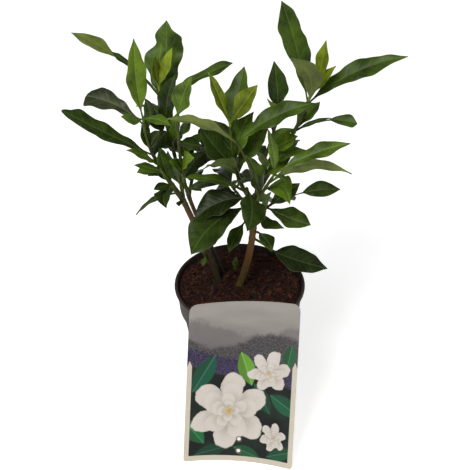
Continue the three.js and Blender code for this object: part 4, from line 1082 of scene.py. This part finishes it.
def shoot_piece(number, part, curves):
    """One shoot with all its leaves, or the bud and leaves at a shoot's tip."""
    name, rows = part["name"], part["leaves"]
    if "tip_of" in part:
        curve = curves[part["tip_of"]]
        radius = next(other["radii"][1] for other in SHOOTS if other["name"] == part["tip_of"])
        patches = [bud(curve, radius, TONES[part["kind"]])]
        end, along = curve.at(1), curve.along(1)
        roots = [end + along * (CLEARANCE + ROOT + row[1] * BUD_LENGTH) for row in rows]
        slot, suffix = TIP_SLOTS[part["kind"]]
    else:
        parent, at, bark = part["parent"], part["at"], part["bark"]
        on_soil = parent == "soil"
        foot = [*at, SOIL_LEVEL] if on_soil else curves[parent].at(at)
        curve = curves[name] = Curve([foot, *part["path"]])
        joints = [row[1] for row in rows] + [other["at"] for other in SHOOTS if other.get("parent") == name]
        tones = STEM_TONES.get(name, STEM_TONES.get(bark))
        patches = [stem(curve, part["radii"], joints, tones, number, STEM_DEPTH if on_soil else 0)]
        roots = [curve.at(row[1]) for row in rows]
        slot, suffix = SHOOT_SLOTS[bark]
    for place, (row, root) in enumerate(zip(rows, roots)):
        patches.append(leaf(root, row, 100 * number + place, LOBES.get((name, row[2]), ())))
    hand_in(build(f"{name}_{suffix}", joined(patches), FINISHES[slot]), slot, name)


curves = {}
for number, part in enumerate(SHOOTS):
    shoot_piece(number, part, curves)

pot = build("pot_shell", joined(pot_patches()), pot_finish(), weld=True, crease=50)
hand_in(pot, "pot", "pot")
peat = build("peat_filling", soil_patch(), soil_finish())
hand_in(peat, "soil", "soil")
for name, surface, scale in (("bark_crumbs", crumbs_patch(), 900), ("coir_fibres", fibres_patch(), 1400)):
    hand_in(build(name, surface, shreds_finish(name + "_brown", scale)), "soil")
card = build("picture_card", joined(card_patches()), card_finish(), weld=True, crease=40)
hand_in(card, "label", "label")

# ---------- stage ----------
FLOOR_REACH = 24000
AIM = (0, 0, 0.2)  # that the lights face, in metres
LIGHTS = [  # name, place and width in metres, and watts
    ("key_light", (-0.7, -0.9, 1.5), 0.8, 22),
    ("fill_light", (1.2, -0.5, 1.0), 1.2, 3),
    ("back_light", (0.2, 1.3, 1.2), 1.0, 1.5),
]
SKY_STRENGTH = 0.15
# The camera looks down at the plant by its tilt, square to the front. Its focal length is in pixels.
CAMERA_PLACE = (-0.0047, -0.772708, 0.744767)
CAMERA_TILT = math.radians(36.6)
FOCAL_LENGTH = 1000
PICTURE_WIDTH = 470
SENSOR_WIDTH = 36

ground = np.array([[-1, -1, 0], [1, -1, 0], [1, 1, 0], [-1, 1, 0]]) * float(FLOOR_REACH)
build("floor", patch(ground, np.array([[0, 1, 2, 3]])), floor_finish())

for name, place, width, power in LIGHTS:
    lamp = bpy.data.lights.new(name, "AREA")
    lamp.shape, lamp.size, lamp.energy = "SQUARE", width, power
    holder = bpy.data.objects.new(name, lamp)
    holder.location = place
    holder.rotation_euler = (Vector(AIM) - Vector(place)).to_track_quat("-Z", "Y").to_euler()
    bpy.context.scene.collection.objects.link(holder)

world = bpy.data.worlds.new("studio")
world.use_nodes = True
sky = world.node_tree.nodes["Background"]
sky.inputs["Color"].default_value = (1, 1, 1, 1)
sky.inputs["Strength"].default_value = SKY_STRENGTH
bpy.context.scene.world = world
bpy.context.scene.view_settings.view_transform = "Standard"

lens = bpy.data.cameras.new("view")
lens.sensor_width = SENSOR_WIDTH
lens.lens = SENSOR_WIDTH * FOCAL_LENGTH / PICTURE_WIDTH
camera = bpy.data.objects.new("view", lens)
camera.location = CAMERA_PLACE
camera.rotation_euler = (math.pi / 2 - CAMERA_TILT, 0, 0)
bpy.context.scene.collection.objects.link(camera)
bpy.context.scene.camera = camera
